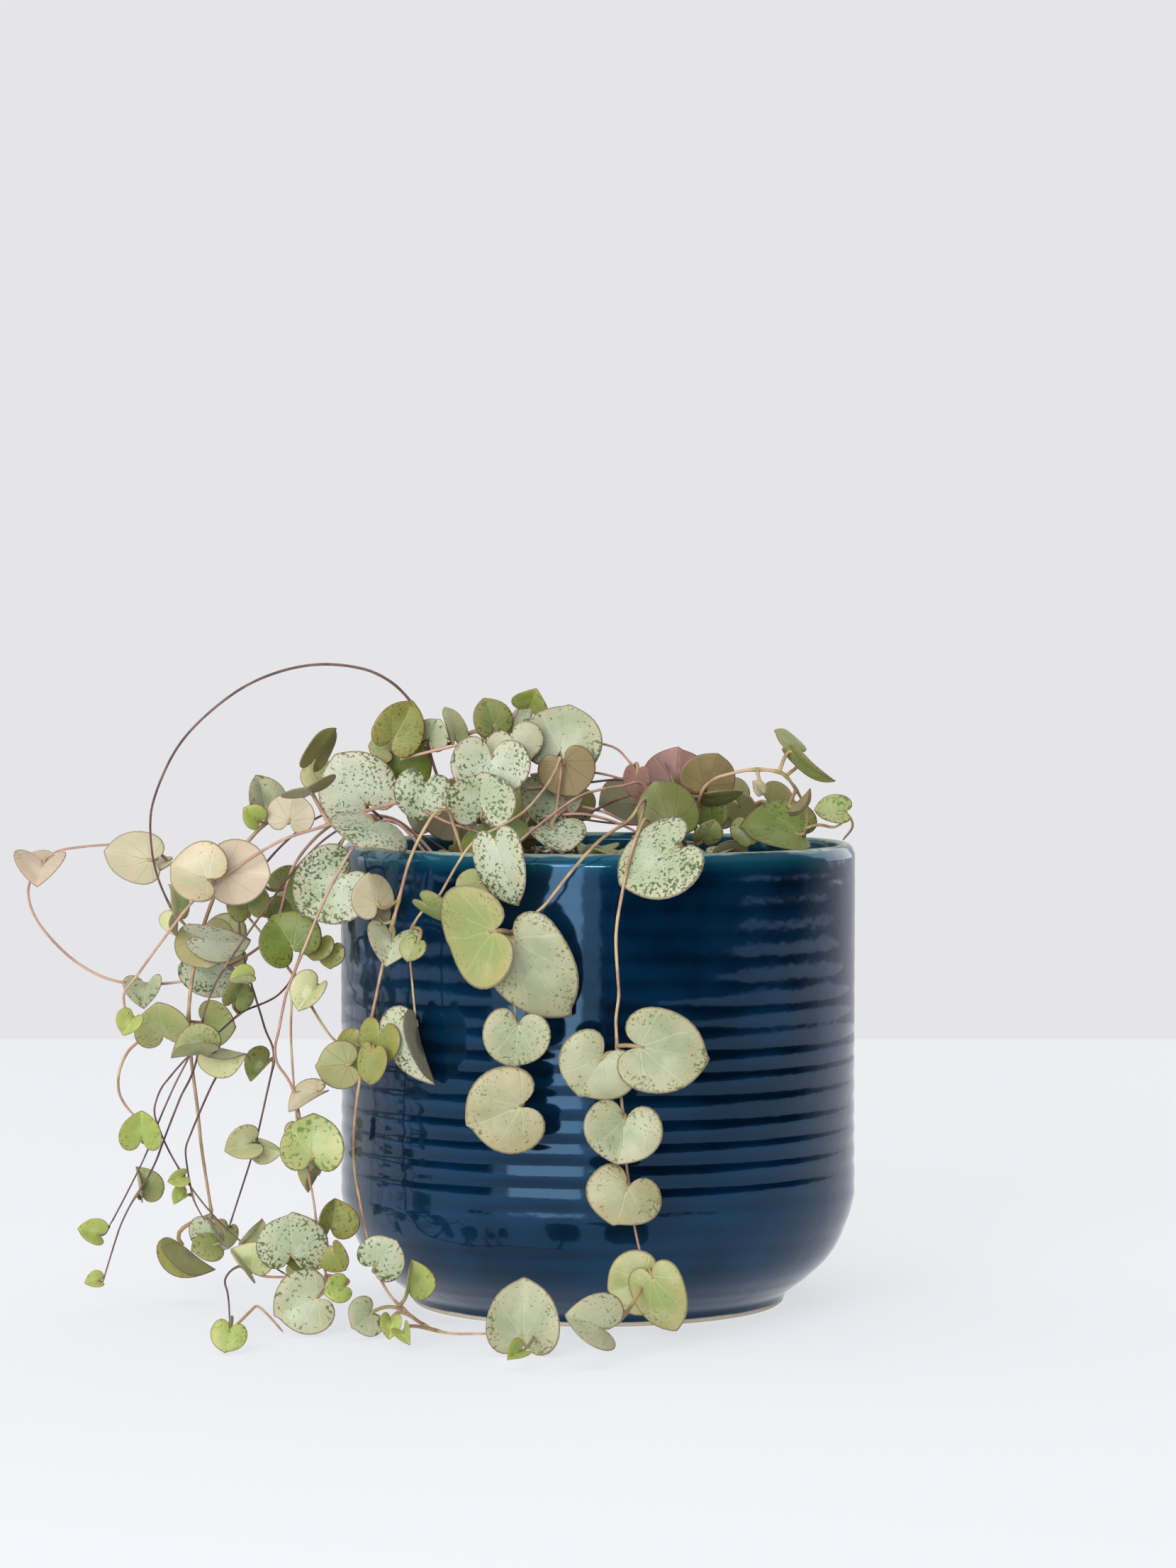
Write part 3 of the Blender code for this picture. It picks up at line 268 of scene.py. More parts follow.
        ((-77, 81.5, -24), (-73, 75, -28), (-70, 70, -31), (-67, 66, -34), (-62.5, 63, -37)),
    ), (
        Leaf(SPECKLED, -64.3, 107.7, 20.5, -135, 0, 0, -11, 1.12),
        Leaf(DARK, -77.5, 89.5, 17, 120, 0, 20, -4), Leaf(OLIVE, -70.5, 91, 9, 250, 10, 20, 2),
        Leaf(OLIVE, -67.5, 89, 8, 262, 10, 30, 5),
        Leaf(PALE, -71.5, 79, 12.5, -128, 13, 31, -6, fold=40),
        Leaf(GREEN, -88.5, 99, 12, 105, 0, 30, -3),
        Leaf(OLIVE, -63.5, 59.5, 12.5, 180, 0, 180, -3),
        Leaf(OLIVE, -60, 64, 12.5, -133, -14, 21, 3.5),
        Leaf(GREEN, -75.5, 44, 9, 300, 10, 30, 2, fold=35),
    )),
    Vine("vine_front_long", Bark.TAN, (-31, -42), 0.65, (
        ((-38, 124, -49), (-42.5, 121.5, -52), (-45, 117, -53), (-47.5, 112, -52),
         (-50.5, 101, -50), (-54, 87, -47), (-57, 73, -45), (-60, 58, -44), (-61.7, 45, -43),
         (-61.9, 34.5, -43), (-60.1, 23.2, -44), (-58.6, 16, -45), (-56.5, 8.8, -48),
         (-54.5, 3.6, -52), (-51.7, -0.5, -56), (-48.3, -3.6, -60), (-44.2, -6.7, -66),
         (-39, -8.7, -71), (-31.8, -9, -73), (-22, -8.6, -75), (-13, -7, -76)),
    ), (
        Leaf(BEIGE, -56, 100.5, 12.5, 112, 0, 215, -3), Leaf(BEIGE, -55.5, 97, 9, 100, 0, 235, 3),
        Leaf(SILVER, -52, 91, 14.5, -102, 55, 0, -11.5, fold=20),
        Leaf(OLIVE, -55, 67.5, 14.5, 262, 0, 40, -5), Leaf(OLIVE, -57, 62, 13, -98, 0, 54, -8),
        Leaf(SPECKLED, -56, 9, 13, 50, 10, 0, -8), Leaf(SILVER, -58, -4, 11, -145, 40, 0, -11),
        Leaf(LIME, -48, 3, 12.5, 80, 0, 48, -4, fold=25),
        Leaf(LIME, -52.5, -6, 8, -95, 30, 0, -15.5, fold=45),
        Leaf(LIME, -49, -9, 7, -60, 55, 0, -16.5, fold=45),
        Leaf(SAGE, -19, -9.8, 19, 90, 0, 0, -14.5, 1.3),
        Leaf(LIME, -20, -14, 8, -160, 50, 35, -34, fold=45),
    )),
    Vine("vine_front_short", Bark.TAN, (-12, -30), 0.6, (
        ((-9, 136, -33), (-12, 131.5, -40), (-18, 124.3, -51), (-24, 120.3, -58),
         (-31, 116.5, -62), (-35.5, 110.5, -63), (-40.5, 102, -61), (-44.5, 98.5, -58),
         (-47.5, 93, -56), (-47.5, 86, -55), (-47, 80, -55), (-46.2, 71, -55)),
    ), (
        Leaf(GREEN, -43.5, 100.5, 13, -35, 0, 60, -5.5),
        Leaf(SPECKLED, -46.2, 70, 19.5, -82, 0, 70, 0, 1.4, fold=25),
        Leaf(GREEN, -46, 90, 8, -120, 10, 30, -11.5, fold=20),
    )),
    Vine("vine_over_rim", Bark.MAUVE, (10, -24), 0.65, (
        ((12.5, 129, -34), (5, 130, -41), (-3, 128.3, -48), (-8, 125.5, -54), (-14, 121, -61),
         (-20, 116, -67), (-25, 110, -70), (-28, 106.8, -70)),
    ), (
        Leaf(SPECKLED, -25.6, 115.8, 16.5, -75, 6, 38, -7.5, 1.65),
        Leaf(GREEN, -30.5, 105.5, 10, 200, 10, 30, 0),
    )),
    Vine("vine_front_pair", Bark.TAN, (6, -36), 0.65, (
        ((12, 126.5, -46), (8, 121.5, -55), (4, 119, -62), (-1, 115, -68), (-8, 107, -72),
         (-14, 99.5, -73), (-21, 94.2, -72), (-23, 90, -72), (-22.5, 85, -72), (-22, 80, -72),
         (-20.8, 72, -72), (-20.2, 60, -72), (-19.5, 51, -72)),
    ), (
        Leaf(SAGE, -21, 91, 22.5, -56, 0, 8, -4, 1.9),
        Leaf(YELLOW, -26.6, 93.4, 27.5, 196, -42, 0, -7.5, 1.05),
        Leaf(SAGE, -20.4, 69.3, 17.5, -95, 0, 0, -4),
        Leaf(KHAKI, -20, 48.8, 23, -160, 0, 0, -4.5, 1.1),
    )),
    Vine("vine_front_tail", Bark.TAN, (16, -44), 0.65, (
        ((13, 121, -53), (10.5, 118.5, -62), (8, 111, -69), (6.2, 103, -72), (4.6, 92, -73),
         (5.3, 77, -73), (4.6, 71.3, -73), (5.3, 58, -73), (6.5, 45.5, -73), (7.3, 34, -73),
         (9, 20, -73), (11.3, 10, -74), (13, 7, -76)),
    ), (
        Leaf(SAGE, 1.2, 61.3, 21, -120, 0, 0, -3), Leaf(SAGE, 11, 64, 22, -10, 0, 0, -6, 1.3),
        Leaf(SAGE, 6.7, 45, 20.5, -100, 12, 0, -6.5, 0.9),
        Leaf(KHAKI, 7.3, 28, 20, -110, 12, 0, -5, 0.85),
        Leaf(YELLOW, 11.8, 4.5, 17, 195, 0, 0, -3),
        Leaf(YELLOW, 13.8, 5.5, 14.5, -70, 8, 14, -7, 1.6),
        Leaf(SAGE, 1, -7.5, 16.5, 154, 20, 30, -26, 1.1, fold=25),
    )),
    Vine("vine_right", Bark.TAN, (24, -20), 0.65, (
        ((26, 128, -33), (35, 133.7, -40), (45, 134, -40), (49, 131, -37), (52.5, 124.5, -29),
         (52.5, 118.5, -22), (50, 112, -15)),
        ((52.6, 119.5, -24), (56, 120.4, -25), (60, 119.8, -24), (63, 122, -23)),
    ), (
        Leaf(GREEN, 50, 138.5, 13, -46, 0, 76, -3, 1.5, fold=8),
        Leaf(GREEN, 50.2, 139.6, 8.5, 137, 0, 64, 6.5, 1.4, fold=8),
        Leaf(DARK, 50.5, 118, 17, 166, 0, 46, -1, 1.35), Leaf(GREEN, 38, 120, 9, 266, 10, 10, 11),
        Leaf(MOTTLED, 62, 123.8, 9, 172, 0, 35, -2, 1.45),
        Leaf(BROWN, 49.5, 125, 8.5, 34, 0, 78, -8, 1.3, fold=8),
        Leaf(BEIGE, 41, 129, 5, 118, 9, 49, -4.5),
    ), (
        ((60, 121, -8), (63, 123, -8), (64.5, 120, -9), (62, 116.5, -8)),
    )),
    Vine("vine_crown_left", Bark.MAUVE, (-22, -16), 0.65, (
        ((-27, 112, -24), (-29.5, 121, -32), (-28, 132, -33), (-22.5, 141, -28)),
    ), (
        Leaf(SPECKLED, -27, 137.5, 20.5, 268, 10, 0, -5),
        Leaf(SPECKLED, -29.5, 123.7, 18, 90, -16, 0, -11),
        Leaf(SILVER, -21.7, 142.5, 15.5, -68, 38, 0, -2), Leaf(GREEN, -34, 115, 13, 78, 0, 68, 9),
        Leaf(DARK, -26, 119, 18, -98, 60, 20, -7),
    ), (
        ((-50, 137, -22), (-40, 139.5, -24), (-30, 141.5, -24), (-20, 140.5, -22),
         (-10, 137, -20)),
        ((-66, 122, -28), (-52, 126, -30), (-40, 131, -30), (-28, 134, -28), (-18, 134.5, -26)),
        ((-44, 124, -34), (-38, 121, -38), (-30, 118.5, -42)),
    )),
    Vine("vine_crown_high", Bark.MAUVE, (-14, 10), 0.65, (
        ((-17, 118, 6), (-20, 132, 2), (-22.5, 143, -1), (-20, 150, 0)),
    ), (
        Leaf(SILVER, -21.7, 144.3, 15.5, 114, -66, 0, 2.5, fold=20),
        Leaf(GREEN, -26.5, 145.5, 11.5, 103, 0, 35, -3.5),
        Leaf(LIME, -17, 151, 10.5, 70, 55, 0, -3, fold=20),
        Leaf(OLIVE, -19, 128, 14, -160, 20, 30, 8.5),
    )),
    Vine("vine_crown_middle", Bark.MAUVE, (-4, -14), 0.65, (
        ((-5, 112, -20), (-8, 124, -26), (-10, 133, -26), (-7, 139, -22), (-1, 141, -18),
         (5, 139.5, -18), (9, 135, -18)),
    ), (
        Leaf(SILVER, -9.4, 139.2, 20.5, 80, -8, 0, -1.5, 1.05),
        Leaf(SILVER, -9.9, 138.4, 16.5, 134, -62, 23, 7, fold=15),
        Leaf(BROWN, -8.5, 136, 15, -70, -12, -175, -5),
        Leaf(SPECKLED, -11.5, 128.5, 16, -98, 36, 0, 10),
        Leaf(GREEN, -19, 119, 14, 58, -11, 72, 10, fold=20),
        Leaf(SPECKLED, -11, 119, 15, -45, 55, -41, -15),
        Leaf(PLUM, 10, 133, 10.5, -92, 0, 50, -9.5),
    ), (
        ((-17, 133, -20), (-9, 134, -22), (0, 133.5, -22), (8, 131.5, -20)),
        ((-18, 129.5, -22), (-12, 130, -24), (-5, 128.5, -22)),
        ((-4, 125, -24), (2, 123.5, -26), (8, 120.5, -24)),
        ((-14, 122.5, -28), (-3, 123, -30), (8, 119.5, -28), (15, 114, -24)),
        ((8, 131.5, -14), (14, 130, -16), (22, 127, -18), (30, 121, -16)),
    )),
    Vine("vine_crown_right", Bark.DARK, (18, -8), 0.7, (
        ((18, 112, -12), (20.5, 121, -20), (19.5, 130, -20), (17, 136, -16)),
        ((19.6, 129, -20), (12, 131, -22), (4, 131.8, -24), (-6, 131, -26), (-16, 133, -24)),
        ((20.5, 121.5, -20), (12, 120.5, -24), (2, 121, -28), (-8, 122.5, -31)),
    ), (
        Leaf(PLUM, 20, 130.3, 18, 88, 0, 180, 6, 0.9),
        Leaf(BROWN, 27.5, 130.5, 15.5, 74, 0, -155, 5.5, 0.98),
        Leaf(DARK, 18.7, 120.5, 16, 112, 0, 180, -18, 1.3),
        Leaf(DARK, 29, 124, 9.5, 262, 10, 35, 2), Leaf(GREEN, 28.5, 127.5, 13, 2, 0, 76, -6.5),
    ), (
        ((26, 127, -20), (14, 129, -22), (2, 125.5, -26), (-10, 118, -32), (-18, 111, -42)),
    )),
    Vine("vine_crown_front", Bark.TAN, (24, -38), 0.65, (
        ((23, 112, -46), (21, 118, -54), (18.5, 116.5, -62)),
    ), (
        Leaf(SPECKLED, 19.2, 114.2, 26, -148, 0, 45, -9, 1.05),
        Leaf(GREEN, 27, 117.5, 9, 60, 20, 40, 3),
    )),
)


# ---- plan

@dataclass(frozen=True)
class BackVines:
    """The vines behind the pot, where the photograph doesn't reach: they follow a rule.

    The rule's own leaves are those in pairs at each node. Some stay bare, and some are set back
    along the line of sight (millimetres) and turned about face, side and tip (degrees).
    """

    angle_hang_root: tuple[Triple, ...] = (
        (-38, 118, 34), (-12, 84, 26), (14, 128, 40), (40, 92, 32))
    seed: int = 7
    rim: float = 126.0
    off: float = 5.0
    node: float = 33.0
    width: tuple[float, float] = (11.0, 21.0)
    radius: float = 0.65
    tones: tuple[Tone, ...] = (SPECKLED, SILVER, GREEN, SAGE, OLIVE, SPECKLED, PALE, BEIGE)
    bare: tuple[tuple[int, int], ...] = (
        (0, 0), (0, 1), (0, 14), (0, 15), (2, 2), (2, 14), (2, 15))
    changes: tuple[tuple[tuple[int, int], float, Triple], ...] = (
        ((0, 4), 0, (25, 0, 0)), ((0, 7), 1.5, (0, 0, 0)), ((1, 0), 0, (0, 0, -35)),
        ((1, 1), -12, (0, 25, 35)), ((1, 2), 0, (0, 0, -18)), ((1, 5), 1.5, (0, 0, 0)),
        ((2, 0), 6.5, (0, 0, -35)), ((2, 1), 0, (0, 0, 18)), ((2, 3), 1.5, (0, 0, 18)),
        ((2, 5), 3, (0, 0, 18)), ((2, 12), -1.5, (0, 0, 0)), ((3, 0), -16, (0, -25, -35)),
        ((3, 1), -16, (0, 25, 35)), ((3, 2), -1.5, (0, 0, 0)), ((3, 4), 1.5, (0, 0, 0)),
        ((3, 5), -1.5, (0, 0, 0)), ((3, 7), -1.5, (-12, 0, 0)))
    tip_width: float = 8.0
    tip_fold: float = 10.0


@dataclass
class Pose:
    """A leaf in space: its notch, width, length, midrib and upper face."""

    notch: Vector
    width: float
    long: float
    tip: Vector
    face: Vector
    tone: Tone
    fold: float = 0.0

    def changed(self, shift: float, turn: Triple) -> "Pose":
        """The pose set back along its line of sight and turned about its own axes.

        Args:
            shift: How much farther from the camera it goes.
            turn: Degrees about its face, its side and its tip.

        Returns:
            The new pose.
        """
        farther = (self.notch.y + shift - EYE.y) / (self.notch.y - EYE.y)
        tip, face = self.tip, self.face
        side = tip.cross(face)
        for angle, axis in zip(turn, (face, side, tip)):
            spin = Matrix.Rotation(math.radians(angle), 3, axis)
            tip, face, side = spin @ tip, spin @ face, spin @ side
        return replace(self, notch=EYE + (self.notch - EYE) * farther, tip=tip, face=face)

    def frame(self) -> tuple[Vector, Vector]:
        """The blade's true side and upper face, square to its midrib."""
        side = self.tip.cross(self.face).normalized()
        return side, side.cross(self.tip).normalized()


@dataclass
class Growth:
    """A vine in space: its stems as lines and the poses of its leaves."""

    name: str
    bark: Bark
    radius: float
    stems: list[list[Vector]]
    leaves: list[Pose] = field(default_factory=list)
    wisps: list[list[Vector]] = field(default_factory=list)


def on_sight(x: float, z: float, depth: float) -> Vector:
    """The point drawn at x, z, set at its depth along the line of sight."""
    drawn = Vector((x, 0.0, z))
    return EYE + (drawn - EYE) * ((depth - EYE.y) / -EYE.y)


def beside(way: Vector) -> Vector:
    """The level direction to the right of a level one."""
    return Vector((way.y, -way.x, 0.0))


def between(spots: Sequence[Vector | float], t: float) -> Vector | float:
    """A place on the smooth (Catmull-Rom) curve through four spots.

    Args:
        spots: The four, one before and one after the stretch itself.
        t: How far along the stretch it is, 0 to 1.

    Returns:
        The place.
    """
    before, start, stop, after = spots
    return 0.5 * (start * 2 + (stop - before) * t
                  + (before * 2 - start * 5 + stop * 4 - after) * t ** 2
                  + (start * 3 - before - stop * 3 + after) * t ** 3)


def through(points: Sequence[Vector], step: float) -> list[Vector]:
    """Evenly spaced points along a smooth curve.

    Args:
        points: What the curve goes through.
        step: About how far apart the new points are.

    Returns:
        The points of the curve, with both ends.
    """
    ends = [points[0] * 2 - points[1]] + list(points) + [points[-1] * 2 - points[-2]]
    curve = []
    for spots in zip(ends, ends[1:], ends[2:], ends[3:]):
        count = max(1, round((spots[2] - spots[1]).length / step))
        curve += [between(spots, k / count) for k in range(count)]
    return curve + [points[-1].copy()]


def frames_along(points: Sequence[Vector]) -> list[tuple[Vector, Vector]]:
    """A sideways and an upright direction at each point, turning as little as they can.

    Args:
        points: The points of a line.

    Returns:
        The two directions at each point.
    """
    ways = [(b - a).normalized() for a, b in zip(points, points[1:])]
    ways = [ways[0]] + [(a + b).normalized() for a, b in zip(ways, ways[1:])] + [ways[-1]]
    side = ways[0].orthogonal().normalized()
    frames = []
    for way in ways:
        side = (side - way * side.dot(way)).normalized()
        frames.append((side, way.cross(side)))
    return frames


@dataclass(frozen=True)
class PotShape:
    """The thrown pot's sizes, which the stems keep clear of."""

    radius: float = 65.0
    height: float = 116.0
    foot: float = 47.0
    wall: float = 4.0
    flank: Pairs = ((47.8, 2.7), (50.3, 4.6), (53.5, 7.0), (57.4, 10.6), (60.2, 14.2),
                    (62.2, 18.4), (63.9, 23.0))
    inside: Pairs = ((49.0, 8.0), (55.5, 12.5), (59.5, 20.0), (61.0, 30.0))
    straight_from: float = 28.0
    soil: float = 100.0
    floor_gap: float = 1.3
    over_rim: float = 2.0

    def rows(self, foot: float) -> list[tuple[float, float]]:
        """The (height, radius) pairs of the flank, from a foot of this radius to the wall."""
        flank = [(height, radius) for radius, height in self.flank]
        return [(0.0, foot)] + flank + [(self.straight_from, self.radius)]

    def wall_radii(self, z: float) -> tuple[float, float]:
        """How wide the wall is.

        Args:
            z: A height.

        Returns:
            The outer and the inner radius there.
        """
        rows = self.rows(self.foot)
        outer = self.radius
        for (low, r_low), (high, r_high) in zip(rows, rows[1:]):
            if low <= z < high:
                outer = r_low + (r_high - r_low) * (z - low) / (high - low)
        return outer, outer - self.wall

    def off(self, point: Vector, room: float) -> Vector:
        """A point pushed clear of the wall and the floor.

        Args:
            point: The point.
            room: How much room it keeps.

        Returns:
            The nearest point that is clear.
        """
        flat = Vector((point.x, point.y, 0.0))
        radius = flat.length
        outer, inner = self.wall_radii(point.z)
        if point.z < self.height + room and inner - room < radius < outer + room:
            up = self.height + room - point.z
            outward = outer + room - radius
            inward = radius - inner + room
            if up <= min(outward, inward) + self.over_rim:
                point = point + UP * up
            elif outward <= inward or point.z < self.soil:
                point = point + flat.normalized() * outward
            else:
                point = point - flat.normalized() * inward
        if point.z < self.floor_gap:
            point = Vector((point.x, point.y, self.floor_gap))
        return point


@dataclass
class Planting:
    """Works out where every stem and leaf goes, by the rule that the part was made with.

    Stems of two vines that are nearer than apart are pushed off each other, push of the overlap
    in each round: mostly in depth, with a lean for ties and only a share of it across.
    """

    pot: PotShape = PotShape()
    back: BackVines = BackVines()
    step: float = 2.2
    wisp_step: float = 0.8
    shoot_step: float = 1.3
    apart: float = 3.9
    push: float = 0.4
    lean: float = 0.4
    across: float = 0.35
    clear: float = 2.2
    rounds: int = 90
    rises: tuple[float, ...] = (-12.0, 0.0, 3.5, 7.0)
    rooted_within: tuple[float, float] = (58.0, 3.0)

    def rise(self, root: Sequence[float]) -> list[Vector]:
        """The upright start of a stem, from its foot in the soil."""
        return [Vector((root[0], root[1], self.pot.soil + up)) for up in self.rises]

    def back_growth(self, index: int, rng: random.Random) -> Growth:
        """A vine that goes over the rim behind the pot, with its leaves in pairs.

        Args:
            index: Which of the back vines it is.
            rng: The seeded source of its leaves' sizes and turns.

        Returns:
            The vine.
        """
        back = self.back
        angle, hang, root = back.angle_hang_root[index]
        way = Vector((math.sin(math.radians(angle)), math.cos(math.radians(angle)), 0.0))
        side = beside(way)
        out = self.pot.radius + back.off
        crest = UP * (back.rim - 2)
        stem = [*self.rise(way * root), way * 0.5 * (root + out) + crest, way * (out - 6) + crest]
        for k in range(1, round(hang / back.node) + 1):
            sway = side * 3.0 * math.sin(1.3 * k + index) + way * 2.0 * math.sin(0.9 * k)
            stem.append(way * (out + 2) + sway + UP * (back.rim - 10 - back.node * (k - 0.4)))
        leaves = []
        changes = {which: (shift, turn) for which, shift, turn in back.changes}
        pairs = [(k, hand) for k in range(2, len(stem)) for hand in (-1, 1)]
        for number, (k, hand) in enumerate(pairs):
            width = rng.uniform(*back.width) * (1.0 - 0.35 * k / len(stem))
            tip = (side * hand * rng.uniform(0.5, 1.0) + way * rng.uniform(-0.1, 0.5)
                   + UP * rng.uniform(-0.9, 0.3)).normalized()
            face = (way + UP * rng.uniform(0.2, 0.9)).normalized()
            notch = stem[k] + side * hand * 4.0 + way * 2.0
            tone = back.tones[(3 * index + 2 * k + hand) % len(back.tones)]
            if (index, number) not in back.bare:
                change = changes.get((index, number), (0, (0, 0, 0)))
                leaves.append(Pose(notch, width, 1.0, tip, face, tone).changed(*change))
        wisps = [self.low_shoot(way, side * hand, root, leaves, 2 * index + hand)
                 for hand in (-1, 1)]
        bark = (Bark.MAUVE, Bark.TAN)[index % 2]
        stems = [through(stem, self.step)]
        return Growth(f"vine_behind_{index + 1}", bark, back.radius, stems, leaves, wisps)

    def low_shoot(self, way: Vector, side: Vector, root: float, leaves: list[Pose],
                  seed: int) -> list[Vector]:
        """A short shoot over the soil behind the crown, only in the finished model.

        Args:
            way: The way from the pot's axis to its vine's root.
            side: The way it leans.
            root: How far out its vine's root is.
            leaves: The vine's leaves, to which its own are added.
            seed: Where its small differences start.

        Returns:
            Its fine line.
        """
        rng = random.Random(seed + 40)
        start = way * root + UP * (self.pot.soil - 1)
        places = [start, start + side * 4 + UP * 7,
                  start + side * 10 + way * rng.uniform(0, 5) + UP * 11,
                  start + side * 17 + way * rng.uniform(-3, 5) + UP * 9]
        for spot, width in zip(places[1:], (11, 13, 9)):
            for hand in (-1, 1):
                tip = (way * hand + side * rng.uniform(-0.2, 0.7)
                       + UP * rng.uniform(-0.1, 0.3)).normalized()
                face = (UP + way * rng.uniform(0, 0.5)).normalized()
                tone = rng.choice(self.back.tones)
                leaves.append(Pose(spot + tip * 2.5 + UP * 1.5, width * rng.uniform(0.85, 1.15),
                                   1.0, tip, face, tone, rng.uniform(0, 25)))
        return through(places, self.shoot_step)

    def end_leaves(self, end: Vector) -> list[Pose]:
        """The two small leaves at a back vine's end, only in the finished model.

        Args:
            end: The end of its settled stem.

        Returns:
            Their poses.
        """
        way = Vector((end.x, end.y, 0.0)).normalized()
        face = (UP + way * 0.25).normalized()
        poses = []
        for side in (-beside(way), beside(way)):
            tip = (side + way * 0.35 + UP * 0.25).normalized()
            poses.append(Pose(end + side * 0.8 + UP * 2, self.back.tip_width, 1.0, tip, face, LIME,
                              self.back.tip_fold))
        return poses

    def drawn_growth(self, vine: Vine) -> Growth:
        """A vine of the photograph, with its stems in space.

        Args:
            vine: The drawn vine.

        Returns:
            The vine without its leaves, which need the settled stems.
        """
        drawn = [[on_sight(*spot) for spot in stem] for stem in vine.stems]
        drawn[0] = self.rise(vine.root) + drawn[0]
        return Growth(vine.name, vine.bark, vine.radius, [through(s, self.step) for s in drawn])

    def pose(self, leaf: Leaf, stems: list[list[Vector]]) -> Pose:
        """Where a drawn leaf is in space, at its stem's depth.

        Args:
            leaf: The drawn leaf.
            stems: Its vine's stems.

        Returns:
            Its pose.
        """
        near = min((p for stem in stems for p in stem),
                   key=lambda p: (on_sight(leaf.x, leaf.z, p.y) - p).length)
        notch = on_sight(leaf.x, leaf.z, near.y + leaf.near)
        aim, pitch, roll = (math.radians(a) for a in (leaf.aim, leaf.pitch, leaf.roll))
        flat = Vector((math.cos(aim), 0.0, math.sin(aim)))
        tip = flat * math.cos(pitch) + Vector((0.0, -math.sin(pitch), 0.0))
        side = Vector((-flat.z, 0.0, flat.x))
        face = tip.cross(side) * math.cos(roll) - side * math.sin(roll)
        width = leaf.width * (notch.y - EYE.y) / -EYE.y
        return Pose(notch, width, leaf.long, tip, face, leaf.tone, leaf.fold)

    def settle(self, growths: list[Growth]) -> None:
        """Bend the stems apart, mostly in depth, so that no two vines touch.

        Args:
            growths: The vines, whose stems are moved.
        """
        lines = [stem for growth in growths for stem in growth.stems]
        owner = [v for v, growth in enumerate(growths) for _ in growth.stems]
        shift = [[Vector() for _ in line] for line in lines]
        for _ in range(self.rounds):
            now = [[p + s for p, s in zip(line, moves)] for line, moves in zip(lines, shift)]
            flat = [(p, n, k) for n, line in enumerate(now) for k, p in enumerate(line)]
            tree = KDTree(len(flat))
            for at, (p, _, _) in enumerate(flat):
                tree.insert(p, at)
            tree.balance()
            for p, n, k in flat:
                push = Vector()
                for q, at, far in tree.find_range(p, self.apart):
                    other = owner[flat[at][1]]
                    if other != owner[n]:
                        away = p - q
                        away.y += self.lean if owner[n] > other else -self.lean
                        away = Vector((self.across * away.x, away.y, self.across * away.z))
                        push += away.normalized() * (self.apart - far) * self.push
                shift[n][k] += push
            shift = [self.smoothed(line, moves) for line, moves in zip(lines, shift)]
        for line, moves in zip(lines, shift):
            line[:] = [p + move for p, move in zip(line, moves)]

    def smoothed(self, line: list[Vector], moves: list[Vector]) -> list[Vector]:
        """A stem's moves made even along it, none at its root and none into the pot.

        Args:
            line: The stem before it moves.
            moves: What each of its points wants to move.

        Returns:
            The moves to make.
        """
        radius, above = self.rooted_within
        padded = [moves[0], *moves, moves[-1]]
        smooth = []
        for p, last, move, following in zip(line, padded, moves, padded[2:]):
            even = last * 0.25 + move * 0.5 + following * 0.25
            rooted = p.z < self.pot.soil + above and p.xy.length < radius
            smooth.append(Vector() if rooted else self.pot.off(p + even, self.clear) - p)
        return smooth

    def grow(self) -> list[Growth]:
        """Every vine with its stems settled and its leaves in their poses.

        Returns:
            The vines, in the part's order.
        """
        rng = random.Random(self.back.seed)
        growths = [self.drawn_growth(vine) for vine in VINES]
        growths += [self.back_growth(k, rng) for k in range(len(self.back.angle_hang_root))]
        self.settle(growths)
        for vine, growth in zip(VINES, growths):
            growth.leaves = [self.pose(leaf, growth.stems) for leaf in vine.leaves]
            growth.wisps = [through([on_sight(*spot) for spot in wisp], self.wisp_step)
                            for wisp in vine.wisps]
        for growth in growths[len(VINES):]:
            growth.leaves += self.end_leaves(growth.stems[0][-1])
        return growths


# ---- finishes

def linear(colour: Colour) -> tuple[float, float, float, float]:
    """A colour given as it looks on screen (0 to 255), in the renderer's linear values."""
    parts = [c / 255 for c in colour]
    return (*(p / 12.92 if p <= 0.04045 else ((p + 0.055) / 1.055) ** 2.4 for p in parts), 1.0)


class Nodes:
    """A tree of shader nodes that is being put together."""

    def __init__(self, tree: bpy.types.NodeTree) -> None:
        """Work in a tree."""
        self.tree = tree

    def node(self, kind: str, ins: dict, out: int | str = 0, **settings: object) -> Socket:
        """Add a node.

        Args:
            kind: Its type.
            ins: What goes into its sockets: a value, or another node's output.
            out: The output that is wanted.
            **settings: Its properties.

        Returns:
            The wanted output.
        """
        made = self.tree.nodes.new("ShaderNode" + kind)
        for key, value in settings.items():
            setattr(made, key, value)
        self.feed(made, ins)
        return made.outputs[out]

    def feed(self, made: bpy.types.Node, ins: dict) -> None:
        """Give a node's sockets their values or links.

        Args:
            made: The node.
            ins: What goes into its sockets.
        """
        for key, value in ins.items():
            if isinstance(value, Socket):
                self.tree.links.new(value, made.inputs[key])
            else:
                made.inputs[key].default_value = value

    def calc(self, how: str, *terms: float | Socket) -> Socket:
        """A sum on one, two or three values."""
        return self.node("Math", dict(enumerate(terms)), operation=how)

    def mix(self, share: float | Socket, first: Colour | Socket,
            second: Colour | Socket) -> Socket:
        """One colour over another.

        Args:
            share: How much of the second shows.
            first: The colour below.
            second: The colour above.

        Returns:
            The blend.
        """
        ends = (c if isinstance(c, Socket) else linear(c) for c in (first, second))
        return self.node("Mix", dict(zip((0, 6, 7), (share, *ends))), 2, data_type="RGBA")


